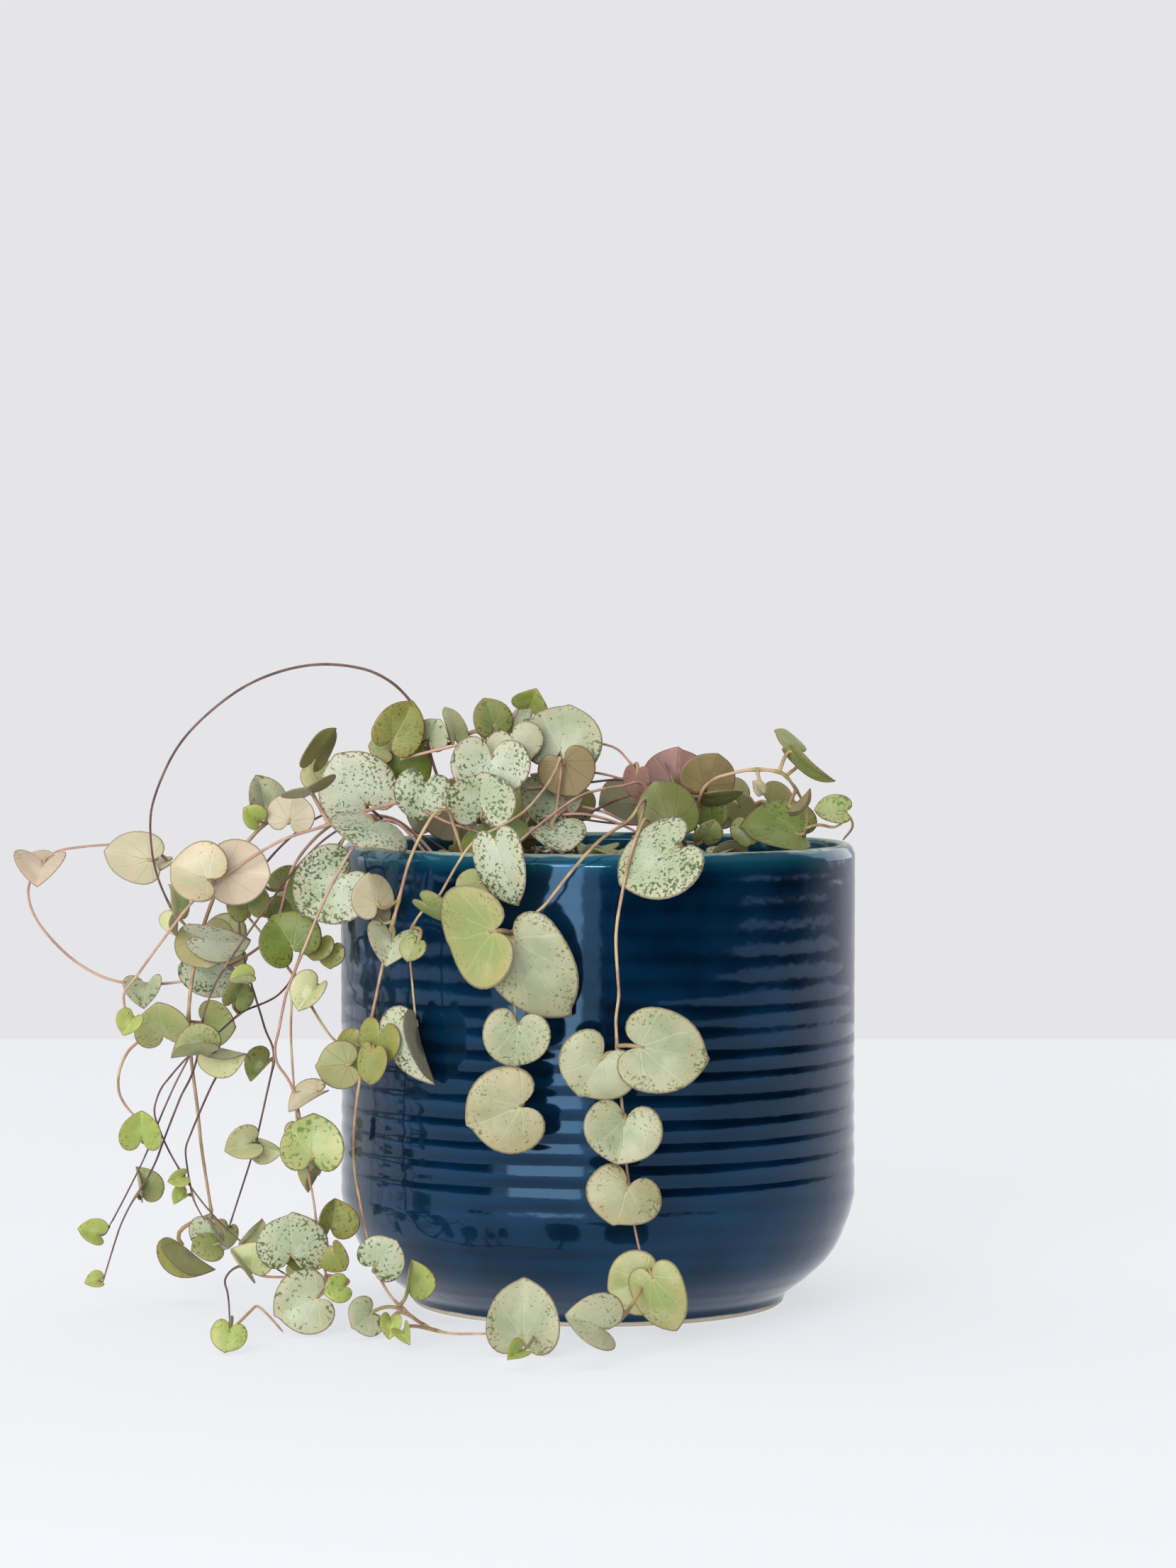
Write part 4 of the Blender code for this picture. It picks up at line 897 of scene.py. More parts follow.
class Graph(Nodes):
    """A material and the shader nodes it is being made of."""

    def __init__(self, name: str) -> None:
        """Start a material with nothing but its shader.

        Args:
            name: The material's name.
        """
        self.material = bpy.data.materials.new(name)
        self.material.use_nodes = True
        super().__init__(self.material.node_tree)

    def here(self) -> Socket:
        """The place on the piece, in its own metres."""
        return self.node("TexCoord", {}, "Object")

    def mark(self, name: str) -> Socket:
        """One of the piece's own vertex values."""
        return self.node("Attribute", {}, "Fac", attribute_name=name)

    def noise(self, scale: float, detail: float = 2.0, rough: float = 0.5) -> Socket:
        """A noise about 0.5.

        Args:
            scale: Waves for each metre.
            detail: How many finer layers it has.
            rough: How strong these are.

        Returns:
            Its value.
        """
        return self.node("TexNoise", {"Vector": self.here(), "Scale": scale, "Detail": detail,
                                      "Roughness": rough}, "Fac")

    def step(self, value: Socket, low: float, high: float, least: float = 0.0,
             most: float = 1.0) -> Socket:
        """A soft step between two levels.

        Args:
            value: What is measured.
            low: Where it starts.
            high: Where it ends.
            least: What it starts from.
            most: What it ends at.

        Returns:
            The stepped value.
        """
        if low > high:
            low, high, least, most = high, low, most, least
        return self.node("MapRange", {0: value, 1: low, 2: high, 3: least, 4: most},
                         interpolation_type="SMOOTHSTEP")

    def dress(self, colour: Socket, relief: Socket | None = None, depth: float = 0.00008,
              strength: float = 0.6, **values: object) -> bpy.types.Material:
        """Give the shader its colour, its small relief and its other values.

        Args:
            colour: The base colour.
            relief: The relief, about 0 to 1, if it has one.
            depth: How deep the relief is, in metres.
            strength: How much of it shows.
            **values: The shader's other values or links, with underscores for spaces.

        Returns:
            The finished material.
        """
        if relief:
            values["Normal"] = self.node("Bump", {"Height": relief, "Distance": depth,
                                                  "Strength": strength})
        values["Base_Color"] = colour
        self.feed(self.tree.nodes["Principled BSDF"],
                  {key.replace("_", " "): value for key, value in values.items()})
        return self.material


@dataclass(frozen=True)
class LeafFinish:
    """A leaf's skin: its upper side with patches and flecks, its underside and its margin.

    The scales are the noises' waves for each metre.
    """

    upper: Colour
    patch: Colour
    fleck: Colour
    under: Colour
    flecks: float = 0.5
    blotch: float = 1.0
    veins: float = 0.22
    margin: Colour = (104, 84, 72)
    rough: float = 0.44
    through: float = 0.05
    through_depth: float = 0.0015
    drift_scale: float = 150.0
    fleck_scale: float = 1350.0
    crowd_scale: float = 130.0
    relief_scale: float = 1300.0
    warmth: Triple = (8, -8, -16)
    pale: int = 22
    dim: float = 0.86
    vein_pairs: float = 5.0

    def made(self, name: str) -> bpy.types.Material:
        """The material.

        Args:
            name: Its name.

        Returns:
            A new material that reads rim, under and age from the leaf.
        """
        g = Graph(name)
        rim, age = g.mark("rim"), g.mark("age")
        older = g.calc("MULTIPLY_ADD", age, 0.3, -0.15)
        drift = g.calc("ADD", g.noise(self.drift_scale, 3.0), older)
        veins = self.vein_lines(g)
        warm: Colour = tuple(c + shift for c, shift in zip(self.upper, self.warmth))
        pale: Colour = tuple(min(255, c + self.pale) for c in self.upper)
        dim: Colour = tuple(int(c * self.dim) for c in self.patch)
        above = g.mix(g.step(drift, 0.34, 0.66), self.upper, self.patch)
        above = g.mix(g.step(g.calc("ADD", rim, g.noise(200.0)), 0.9, 1.5, 0.0, 0.5), above, warm)
        above = g.mix(g.calc("MULTIPLY", veins, self.veins), above, pale)
        above = g.mix(self.fleck_share(g, rim, age), above, self.fleck)
        above = g.mix(g.step(rim, 0.94, 0.985, 0.0, 0.62), above, self.margin)
        below = g.mix(g.step(drift, 0.36, 0.7, 0.0, 0.6), self.under, self.patch)
        below = g.mix(g.calc("MULTIPLY", veins, 0.3), below, dim)
        below = g.mix(g.step(rim, 0.94, 0.99, 0.0, 0.6), below, self.margin)
        relief = g.calc("MULTIPLY_ADD", veins, -0.8, g.noise(self.relief_scale, 3.0))
        return g.dress(g.mix(g.mark("under"), above, below), relief, Roughness=self.rough,
                       Subsurface_Weight=self.through, Subsurface_Scale=self.through_depth)

    def fleck_share(self, g: Graph, rim: Socket, age: Socket) -> Socket:
        """How much of the flecks shows at a place: they crowd near the margin and in patches.

        Args:
            g: The material being made.
            rim: How near the margin it is.
            age: The leaf's age.

        Returns:
            0 between the flecks to nearly 1 on them.
        """
        crowd = g.calc("MULTIPLY_ADD", g.step(rim, 0.25, 1.0), 0.08, g.calc("MULTIPLY", age, 0.03))
        patches = g.step(g.noise(self.crowd_scale, 1.0), 0.35, 0.65)
        crowd = g.calc("MULTIPLY_ADD", patches, 0.09, crowd)
        spots = g.calc("ADD", g.noise(self.fleck_scale / self.blotch, 3.0, 0.58), crowd)
        edge = 0.79 - 0.09 * self.flecks
        return g.step(spots, edge - 0.014, edge + 0.018, 0.0, 0.93)

    def vein_lines(self, g: Graph) -> Socket:
        """How strong the midrib and the veins that fan out of the notch are at a place.

        Args:
            g: The material being made.

        Returns:
            0 between the veins to 1 on them.
        """
        flat = g.node("UVMap", {}, uv_map="flat")
        u, v = (g.node("SeparateXYZ", {0: flat}, axis) for axis in (0, 1))
        fan = g.calc("ARCTAN2", u, g.calc("ADD", v, 0.03))
        bend = g.calc("MULTIPLY_ADD", g.noise(120.0, 1.0), 0.3, -0.15)
        turn = g.calc("MULTIPLY", g.calc("ADD", fan, bend), self.vein_pairs)
        out = g.node("VectorMath", {0: flat}, "Value", operation="LENGTH")
        thin = g.calc("MULTIPLY", g.calc("ABSOLUTE", g.calc("SINE", turn)), out)
        fading = g.step(out, 0.46, 0.6, 1.0, 0.2)
        return g.calc("MULTIPLY", g.step(thin, 0.015, 0.06, 1.0, 0.0), fading)


# Each tone's upper side, patches, flecks and underside, then how many flecks and how large
LEAF_FINISHES = {tone: LeafFinish(*row) for tone, *row in (
    (SILVER, (171, 176, 149), (149, 158, 125), (78, 96, 48), (170, 163, 132), 0.7, 1.3),
    (SPECKLED, (172, 179, 155), (151, 163, 132), (60, 82, 36), (168, 163, 132), 1.25, 1.1),
    (SAGE, (158, 163, 133), (139, 147, 114), (88, 102, 54), (163, 155, 126), 0.6),
    (KHAKI, (156, 155, 121), (140, 142, 102), (100, 98, 55), (163, 151, 122), 0.55),
    (GREEN, (140, 148, 95), (121, 132, 74), (86, 102, 44), (149, 148, 101), 0.6),
    # dark green: partly the leaf's own colour, partly painted shade
    (DARK, (108, 123, 54), (90, 108, 40), (62, 78, 28), (123, 125, 75), 0.6),
    # olive: partly the leaf's own colour, partly painted backlight
    (OLIVE, (140, 143, 80), (125, 131, 65), (90, 96, 44), (148, 142, 95), 0.5),
    (YELLOW, (163, 164, 119), (136, 147, 87), (108, 122, 58), (168, 166, 121), 0.35),
    (PALE, (183, 187, 142), (164, 174, 117), (122, 136, 76), (181, 178, 142), 0.35),
    (LIME, (159, 171, 97), (140, 157, 78), (104, 126, 56), (166, 172, 114), 0.4),
    (MOTTLED, (163, 171, 114), (144, 157, 93), (92, 122, 54), (164, 172, 108), 1.15, 1.35),
    (BEIGE, (187, 178, 148), (168, 166, 129), (136, 128, 88), (187, 174, 148), 0.2),
    (BLUSH, (193, 176, 157), (179, 168, 136), (150, 128, 100), (191, 172, 151), 0.15),
    (PLUM, (137, 104, 94), (119, 90, 77), (86, 62, 50), (158, 119, 112), 0.35),
    (BROWN, (129, 119, 77), (108, 108, 54), (78, 74, 40), (144, 125, 88), 0.35),
)}


@dataclass(frozen=True)
class BarkFinish:
    """A stem's skin, with a second colour at the swollen nodes."""

    skin: Colour
    # the paler colour: partly the skin's own mottling, partly painted highlight
    light: Colour
    knot: Colour
    rough: float = 0.5

    def made(self, name: str) -> bpy.types.Material:
        """The material.

        Args:
            name: Its name.

        Returns:
            A new material that reads knot from the stem.
        """
        g = Graph(name)
        # paler patches and fine pale flecks: partly mottling, partly painted highlights on the
        # stems
        colour = g.mix(g.step(g.noise(160.0, 3.0), 0.4, 0.62), self.skin, self.light)
        colour = g.mix(g.step(g.noise(1100.0, 2.0), 0.52, 0.7, 0.0, 0.35), colour, self.light)
        colour = g.mix(g.step(g.mark("knot"), 0.25, 0.9, 0.0, 0.8), colour, self.knot)
        return g.dress(colour, g.noise(1300.0, 3.0), Roughness=self.rough)


BARK_FINISHES = {
    Bark.DARK: BarkFinish((76, 52, 50), (112, 82, 74), (136, 124, 72)),
    Bark.MAUVE: BarkFinish((158, 120, 106), (186, 150, 130), (152, 136, 88)),
    Bark.TAN: BarkFinish((154, 120, 94), (184, 158, 120), (140, 134, 78)),
}


@dataclass(frozen=True)
class GlazeFinish:
    """The pot's deep blue glaze, which breaks pale on the rim and leaves the foot bare.

    The bands are heights in metres: where each starts to show, and where it shows in full.
    """

    deep: Colour = (1, 16, 33)
    crest: Colour = (5, 42, 70)
    teal: Colour = (16, 72, 88)
    breaking: Colour = (142, 154, 130)
    foot: Colour = (190, 176, 152)
    sheen: Colour = (150, 205, 255)
    rough: float = 0.095
    bare_rough: float = 0.6
    index: float = 1.62
    teal_band: tuple[float, float] = (0.1102, 0.1146)
    breaking_band: tuple[float, float] = (0.1151, 0.1157)
    bare_band: tuple[float, float] = (0.0014, 0.0009)

    def made(self, name: str) -> bpy.types.Material:
        """The material.

        Args:
            name: Its name.

        Returns:
            A new material that reads crest from the pot.
        """
        g = Graph(name)
        height = g.node("SeparateXYZ", {0: g.here()}, 2)
        wander = g.calc("MULTIPLY_ADD", g.noise(90.0, 3.0), 0.0022, -0.0011)
        level = g.calc("ADD", height, wander)
        crest = g.calc("ADD", g.mark("crest"), g.step(g.noise(60.0, 3.0), 0.3, 0.7, -0.4, 0.1))
        bare = g.step(g.calc("ADD", height, g.calc("MULTIPLY", wander, 0.3)), *self.bare_band)
        colour = g.mix(g.step(crest, 0.3, 1.1, 0.0, 0.6), self.deep, self.crest)
        colour = g.mix(g.step(g.noise(28.0, 4.0), 0.42, 0.68, 0.0, 0.35), colour, self.crest)
        colour = g.mix(g.step(level, *self.teal_band, 0.0, 0.85), colour, self.teal)
        colour = g.mix(g.step(level, *self.breaking_band, 0.0, 0.8), colour, self.breaking)
        rough = g.calc("MULTIPLY_ADD", bare, self.bare_rough, self.rough)
        return g.dress(g.mix(bare, colour, self.foot), g.noise(95.0, 3.0), 0.00024,
                       Roughness=rough, Specular_Tint=linear(self.sheen), IOR=self.index)


@dataclass(frozen=True)
class SoilFinish:
    """Dark potting soil with paler crumbs."""

    dark: Colour = (44, 33, 25)
    crumb: Colour = (92, 72, 54)
    rough: float = 0.95

    def made(self, name: str) -> bpy.types.Material:
        """The material.

        Args:
            name: Its name.

        Returns:
            A new material.
        """
        g = Graph(name)
        colour = g.mix(g.step(g.noise(420.0, 4.0), 0.45, 0.65), self.dark, self.crumb)
        return g.dress(colour, g.noise(900.0, 4.0, 0.6), 0.0004, 0.8, Roughness=self.rough)


@dataclass(frozen=True)
class FloorFinish:
    """The pale paper the pot stands on; it gives off painted light that lifts its shadows."""

    tone: Colour = (124, 124, 127)
    # painted light: the floor shines in this colour, at this share, to fill in its shadows
    painted_glow: Colour = (239, 240, 244)
    share: float = 0.72
    rough: float = 0.9

    def made(self, name: str) -> bpy.types.Material:
        """The material.

        Args:
            name: Its name.

        Returns:
            A new material.
        """
        g = Graph(name)
        lighter: Colour = tuple(c + 2 for c in self.tone)
        # the emission is painted light, not a lamp, and it lifts the floor's shadows
        return g.dress(g.mix(g.noise(6.0, 1.0), self.tone, lighter), Roughness=self.rough,
                       Emission_Color=linear(self.painted_glow), Emission_Strength=self.share)


# ---- pieces

def finished(bm: BMesh, name: str, materials: Sequence[bpy.types.Material],
             scale: float = MM) -> bpy.types.Object:
    """A mesh made into a smooth-shaded object at the origin.

    Args:
        bm: The mesh, which is freed.
        name: The object's name.
        materials: Its materials, in the order of its faces' numbers.
        scale: What brings it to metres.

    Returns:
        The object, linked to the scene.
    """
    bmesh.ops.recalc_face_normals(bm, faces=bm.faces)
    bmesh.ops.scale(bm, verts=bm.verts, vec=(scale,) * 3)
    for face in bm.faces:
        face.smooth = True
    mesh = bpy.data.meshes.new(name)
    bm.to_mesh(mesh)
    bm.free()
    for material in materials:
        mesh.materials.append(material)
    piece = bpy.data.objects.new(name, mesh)
    bpy.context.scene.collection.objects.link(piece)
    return piece


def turned(bm: BMesh, profile: Sequence[tuple[float, float]], sides: int) -> None:
    """Turn (radius, height) pairs about Z into a closed shape.

    Args:
        bm: The mesh it goes into.
        profile: The outline, which starts and ends on the axis.
        sides: How many sides it gets.
    """
    verts = [bm.verts.new((radius, 0.0, height)) for radius, height in profile]
    edges = [bm.edges.new(pair) for pair in zip(verts, verts[1:])]
    bmesh.ops.spin(bm, geom=verts + edges, cent=(0, 0, 0), axis=UP, dvec=(0, 0, 0),
                   angle=2 * math.pi, steps=sides, use_merge=True)
    bmesh.ops.remove_doubles(bm, verts=bm.verts, dist=1e-4)


def pour(part: BMesh, bm: BMesh, material: int) -> None:
    """Add one mesh to another, with its layers.

    Args:
        part: The mesh to add, which is freed.
        bm: The mesh it goes into.
        material: Its faces' material number.
    """
    for face in part.faces:
        face.material_index = material
    step = bpy.data.meshes.new("part")
    part.to_mesh(step)
    part.free()
    bm.from_mesh(step)
    bpy.data.meshes.remove(step)


@dataclass
class Tube:
    """A round shape along a line, wrapped from a flat grid."""

    points: list[Vector]
    radii: list[float]
    sides: int
    knots: list[float]

    def add(self, bm: BMesh) -> None:
        """Add it to a mesh.

        Args:
            bm: The mesh, which has a knot layer and the bark as its first material.
        """
        part = bmesh.new()
        knot = part.verts.layers.float.new("knot")
        last = len(self.points) - 1
        bmesh.ops.create_grid(part, x_segments=last, y_segments=self.sides, size=0.5)
        frames = frames_along(self.points)
        for vert in part.verts:
            row = round((vert.co.x + 0.5) * last)
            angle = 2 * math.pi * (vert.co.y + 0.5)
            side, up = frames[row]
            out = side * math.cos(angle) + up * math.sin(angle)
            vert.co = self.points[row] + out * self.radii[row]
            vert[knot] = self.knots[row]
        bmesh.ops.remove_doubles(part, verts=part.verts, dist=1e-4)
        ends = [edge for edge in part.edges if edge.is_boundary]
        bmesh.ops.holes_fill(part, edges=ends, sides=self.sides)
        pour(part, bm, 0)


@dataclass(frozen=True)
class Blade:
    """The smooth heart-shaped blade, in widths from its notch; it is millimetres thick."""

    half: Pairs = (
        (0.0, 0.0), (0.026, -0.075), (0.07, -0.155), (0.155, -0.225), (0.28, -0.228),
        (0.39, -0.162), (0.466, -0.045), (0.497, 0.09), (0.482, 0.23), (0.424, 0.36),
        (0.33, 0.465), (0.21, 0.54), (0.09, 0.588), (0.0, 0.612))
    middle: float = 0.2
    sides: int = 40
    insets: tuple[float, ...] = (0.07, 0.22, 0.27)
    curl: float = 0.105
    thick: float = 0.95
    edge: float = 0.28
    wave: float = 0.014
    crease: float = 0.04

    def outline(self) -> list[Vector]:
        """The whole margin, smooth and even.

        Returns:
            Its points, from the notch round one lobe to the tip and back.
        """
        right = [Vector((u, v)) for u, v in self.half]
        loop = right + [Vector((-u, v)) for u, v in reversed(right[1:-1])]
        places = []
        for k in range(self.sides):
            at, t = divmod(k * len(loop) / self.sides, 1.0)
            spots = [loop[(int(at) + j) % len(loop)] for j in (-1, 0, 1, 2)]
            if at == 0:
                spots[0] = loop[1].lerp(loop[0], 2.0)
            places.append(between(spots, t))
        return places

    def template(self) -> bpy.types.Mesh:
        """A flat disc of rings with its rim value, ready to be shaped into a blade.

        Returns:
            A mesh whose points carry how far out they are and their place in widths.
        """
        bm = bmesh.new()
        rim = bm.verts.layers.float.new("rim")
        bmesh.ops.create_circle(bm, cap_ends=True, segments=self.sides, radius=1.0)
        for inset in self.insets:
            middle = min(bm.faces,
                         key=lambda f: f.calc_center_median().length + f.calc_area() * 1e-3)
            bmesh.ops.inset_individual(bm, faces=[middle], thickness=inset)
        bmesh.ops.poke(bm, faces=[max(bm.faces, key=lambda f: len(f.verts))])
        outline = self.outline()
        centre = Vector((0.0, self.middle))
        for vert in bm.verts:
            turn = (math.atan2(vert.co.y, vert.co.x) / (2 * math.pi)) % 1.0
            spot = outline[round(turn * self.sides) % self.sides]
            vert[rim] = min(1.0, vert.co.length)
            vert.co = (*centre.lerp(spot, min(1.0, vert.co.length)), 0.0)
        mesh = bpy.data.meshes.new("blade")
        bm.to_mesh(mesh)
        bm.free()
        return mesh

    def thickness(self, out: float) -> float:
        """How thick the blade is, from its middle (0) to its margin (1)."""
        return self.edge + (self.thick - self.edge) * (1 - out ** 2) ** 0.7

    def add(self, bm: BMesh, template: bpy.types.Mesh, pose: Pose, material: int,
            rng: random.Random) -> None:
        """Add a blade in its pose.

        Args:
            bm: The vine's mesh.
            template: The flat disc.
            pose: Where it is.
            material: Its tone's material number.
            rng: The source of its small differences.
        """
        part = bmesh.new()
        part.from_mesh(template)
        rim = part.verts.layers.float["rim"]
        under, age = (part.verts.layers.float.new(name) for name in ("under", "age"))
        flat = part.loops.layers.uv.new("flat")
        for loop in (loop for face in part.faces for loop in face.loops):
            loop[flat].uv = loop.vert.co.xy
        side, face = pose.frame()
        width, phase, old = pose.width, rng.uniform(0, 6.28), rng.random()
        wave = self.wave * width * rng.uniform(0.4, 1.2)
        lean, fold, cup = (rng.uniform(*r) for r in ((-0.08, 0.08), (0.08, 0.38), (-0.65, 0.25)))
        curl = self.curl * rng.uniform(0.3, 3.6)
        uneven, blunt = rng.uniform(-0.06, 0.06), rng.uniform(0.88, 1.06)
        close, lift = math.cos(math.radians(pose.fold)), math.sin(math.radians(pose.fold))
        for vert in part.verts:
            u, v = vert.co.x, vert.co.y * (pose.long * blunt if vert.co.y > 0 else 1.0)
            v *= 1.0 + math.copysign(uneven, u) * (1.5 if v < 0 else 0.5)
            out = vert[rim]
            ridge = math.hypot(u, self.crease) - self.crease
            rise = fold * ridge - curl * v * v + cup * u * u + lean * u
            turn = math.atan2(v - self.middle, u)
            rise = (rise + lift * abs(u)) * width + wave * out ** 3 * math.sin(3 * turn + phase)
            place = pose.notch + side * (u * close * width) + pose.tip * (v * width)
            vert.co = place + face * (rise - self.thickness(out) / 2)
            vert[under], vert[age] = 1.0, old
        raised = bmesh.ops.extrude_face_region(part, geom=list(part.faces), use_keep_orig=True)
        for vert in (g for g in raised["geom"] if isinstance(g, bmesh.types.BMVert)):
            vert.co += face * self.thickness(vert[rim])
            vert[under] = 0.0
        pour(part, bm, material)


@dataclass
class LeafyStem:
    """A vine: its stems with swollen nodes, its leaf stalks and its leaves.

    Slim gives the finished stems' radius against the plan's, for each bark. A stem tapers to its
    tip and closes there, swells at its nodes and is a little uneven. Its leaf stalks start where
    it is above the pot's mouth or outside the pot, and rather above the leaf than below it.
    """

    growth: Growth
    template: bpy.types.Mesh
    blade: Blade = Blade()
    slim: tuple[tuple[Bark, float], ...] = (
        (Bark.DARK, 0.52), (Bark.MAUVE, 0.66), (Bark.TAN, 0.68))
    stem_step: float = 1.3
    taper: float = 0.35
    shoot: float = 0.9
    swell: float = 0.55
    swell_reach: float = 1.5
    uneven: float = 0.03
    mouth: float = 107.0
    outside: float = 65.0
    above: float = 0.3
    stalk_radius: float = 0.5
    wisp_radius: float = 0.38
    stalk_rings: int = 8

    def stem_lines(self) -> list[list[Vector]]:
        """The stems as smooth fine lines."""
        return [through(stem[::2] + ([] if len(stem) % 2 else [stem[-1]]), self.stem_step)
                for stem in self.growth.stems]

    def stalk_root(self, lines: list[list[Vector]], notch: Vector) -> Vector:
        """Where a leaf's stalk meets its vine: the nearest fitting place on its stems.

        Args:
            lines: The stems' fine lines.
            notch: The leaf's notch.

        Returns:
            The place.
        """
        free = (p for line in lines for p in line
                if p.z > self.mouth or p.xy.length > self.outside)
        return min(free, key=lambda p: (p - notch).length + self.above * max(0.0, notch.z - p.z))

    def add_stem(self, bm: BMesh, line: list[Vector], knots: KDTree, radius: float) -> None:
        """Add one stem.

        Args:
            bm: The vine's mesh.
            line: Its fine line.
            knots: The places of its nodes.
            radius: Its radius at its foot.
        """
        last = len(line) - 1
        marks = [math.exp(-(knots.find(point)[2] / self.swell_reach) ** 2) for point in line]
        radii = []
        for k, knot in enumerate(marks):
            thin = 1.0 - self.taper * (k / last) ** 2 - (self.taper if k == last else 0.0)
            bulge = (1 + self.swell * knot) * (1 + self.uneven * math.sin(k * 1.7))
            radii.append(radius * thin * bulge)
        Tube(line, radii, 8, marks).add(bm)

    def add_stalk(self, bm: BMesh, pose: Pose, root: Vector) -> None:
        """Add a leaf's stalk, bent from its notch to its stem.

        Args:
            bm: The vine's mesh.
            pose: The leaf's pose.
            root: Where the stalk meets the stem.
        """
        _, face = pose.frame()
        start = pose.notch + pose.tip * (pose.width * 0.04) - face * 0.1
        gap = root - start
        leave = start - pose.tip * (min(gap.length * 0.55, 6.0) + 0.6)
        arrive = root - gap.normalized() * min(gap.length * 0.25, 1.5)
        size = self.stalk_radius * min(1.15, 0.75 + pose.width / 60)
        points, radii, marks = [], [], []
        for k in range(self.stalk_rings + 1):
            t = k / self.stalk_rings
            s = 1 - t
            points.append(start * s ** 3 + leave * 3 * s * s * t + arrive * 3 * s * t * t
                          + root * t ** 3)
            radii.append(size * (1.0 + 0.25 * (abs(2 * k / self.stalk_rings - 1)) ** 3))
            marks.append(0.55 * s + 0.2)
        radii[-1] = size * 0.8
        Tube(points, radii, 6, marks).add(bm)

    def build(self, finishes: dict[Tone | Bark, bpy.types.Material]) -> bpy.types.Object:
        """Model and dress it in its node's place.

        Args:
            finishes: The materials of every tone and bark.

        Returns:
            The piece.
        """
        growth = self.growth
        rng = random.Random(growth.name)
        bm = bmesh.new()
        for layer in ("knot", "rim", "under", "age"):
            bm.verts.layers.float.new(layer)
        bm.loops.layers.uv.new("flat")
        tones = sorted({pose.tone for pose in growth.leaves}, key=lambda tone: tone.value)
        lines = self.stem_lines()
        roots = [self.stalk_root(lines, pose.notch) for pose in growth.leaves]
        knots = KDTree(len(roots))
        for k, root in enumerate(roots):
            knots.insert(root, k)
        knots.balance()
        radius = growth.radius * dict(self.slim)[growth.bark]
        for number, line in enumerate(lines):
            self.add_stem(bm, line, knots, radius * (self.shoot if number else 1.0))
        for wisp in growth.wisps:
            self.add_stem(bm, wisp, knots, self.wisp_radius)
        for pose, root in zip(growth.leaves, roots):
            self.add_stalk(bm, pose, root)
            self.blade.add(bm, self.template, pose, 1 + tones.index(pose.tone), rng)
        piece = finished(bm, growth.name + "_fine", [finishes[f] for f in (growth.bark, *tones)])
        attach(piece, "root")
        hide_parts(growth.name)
        return piece


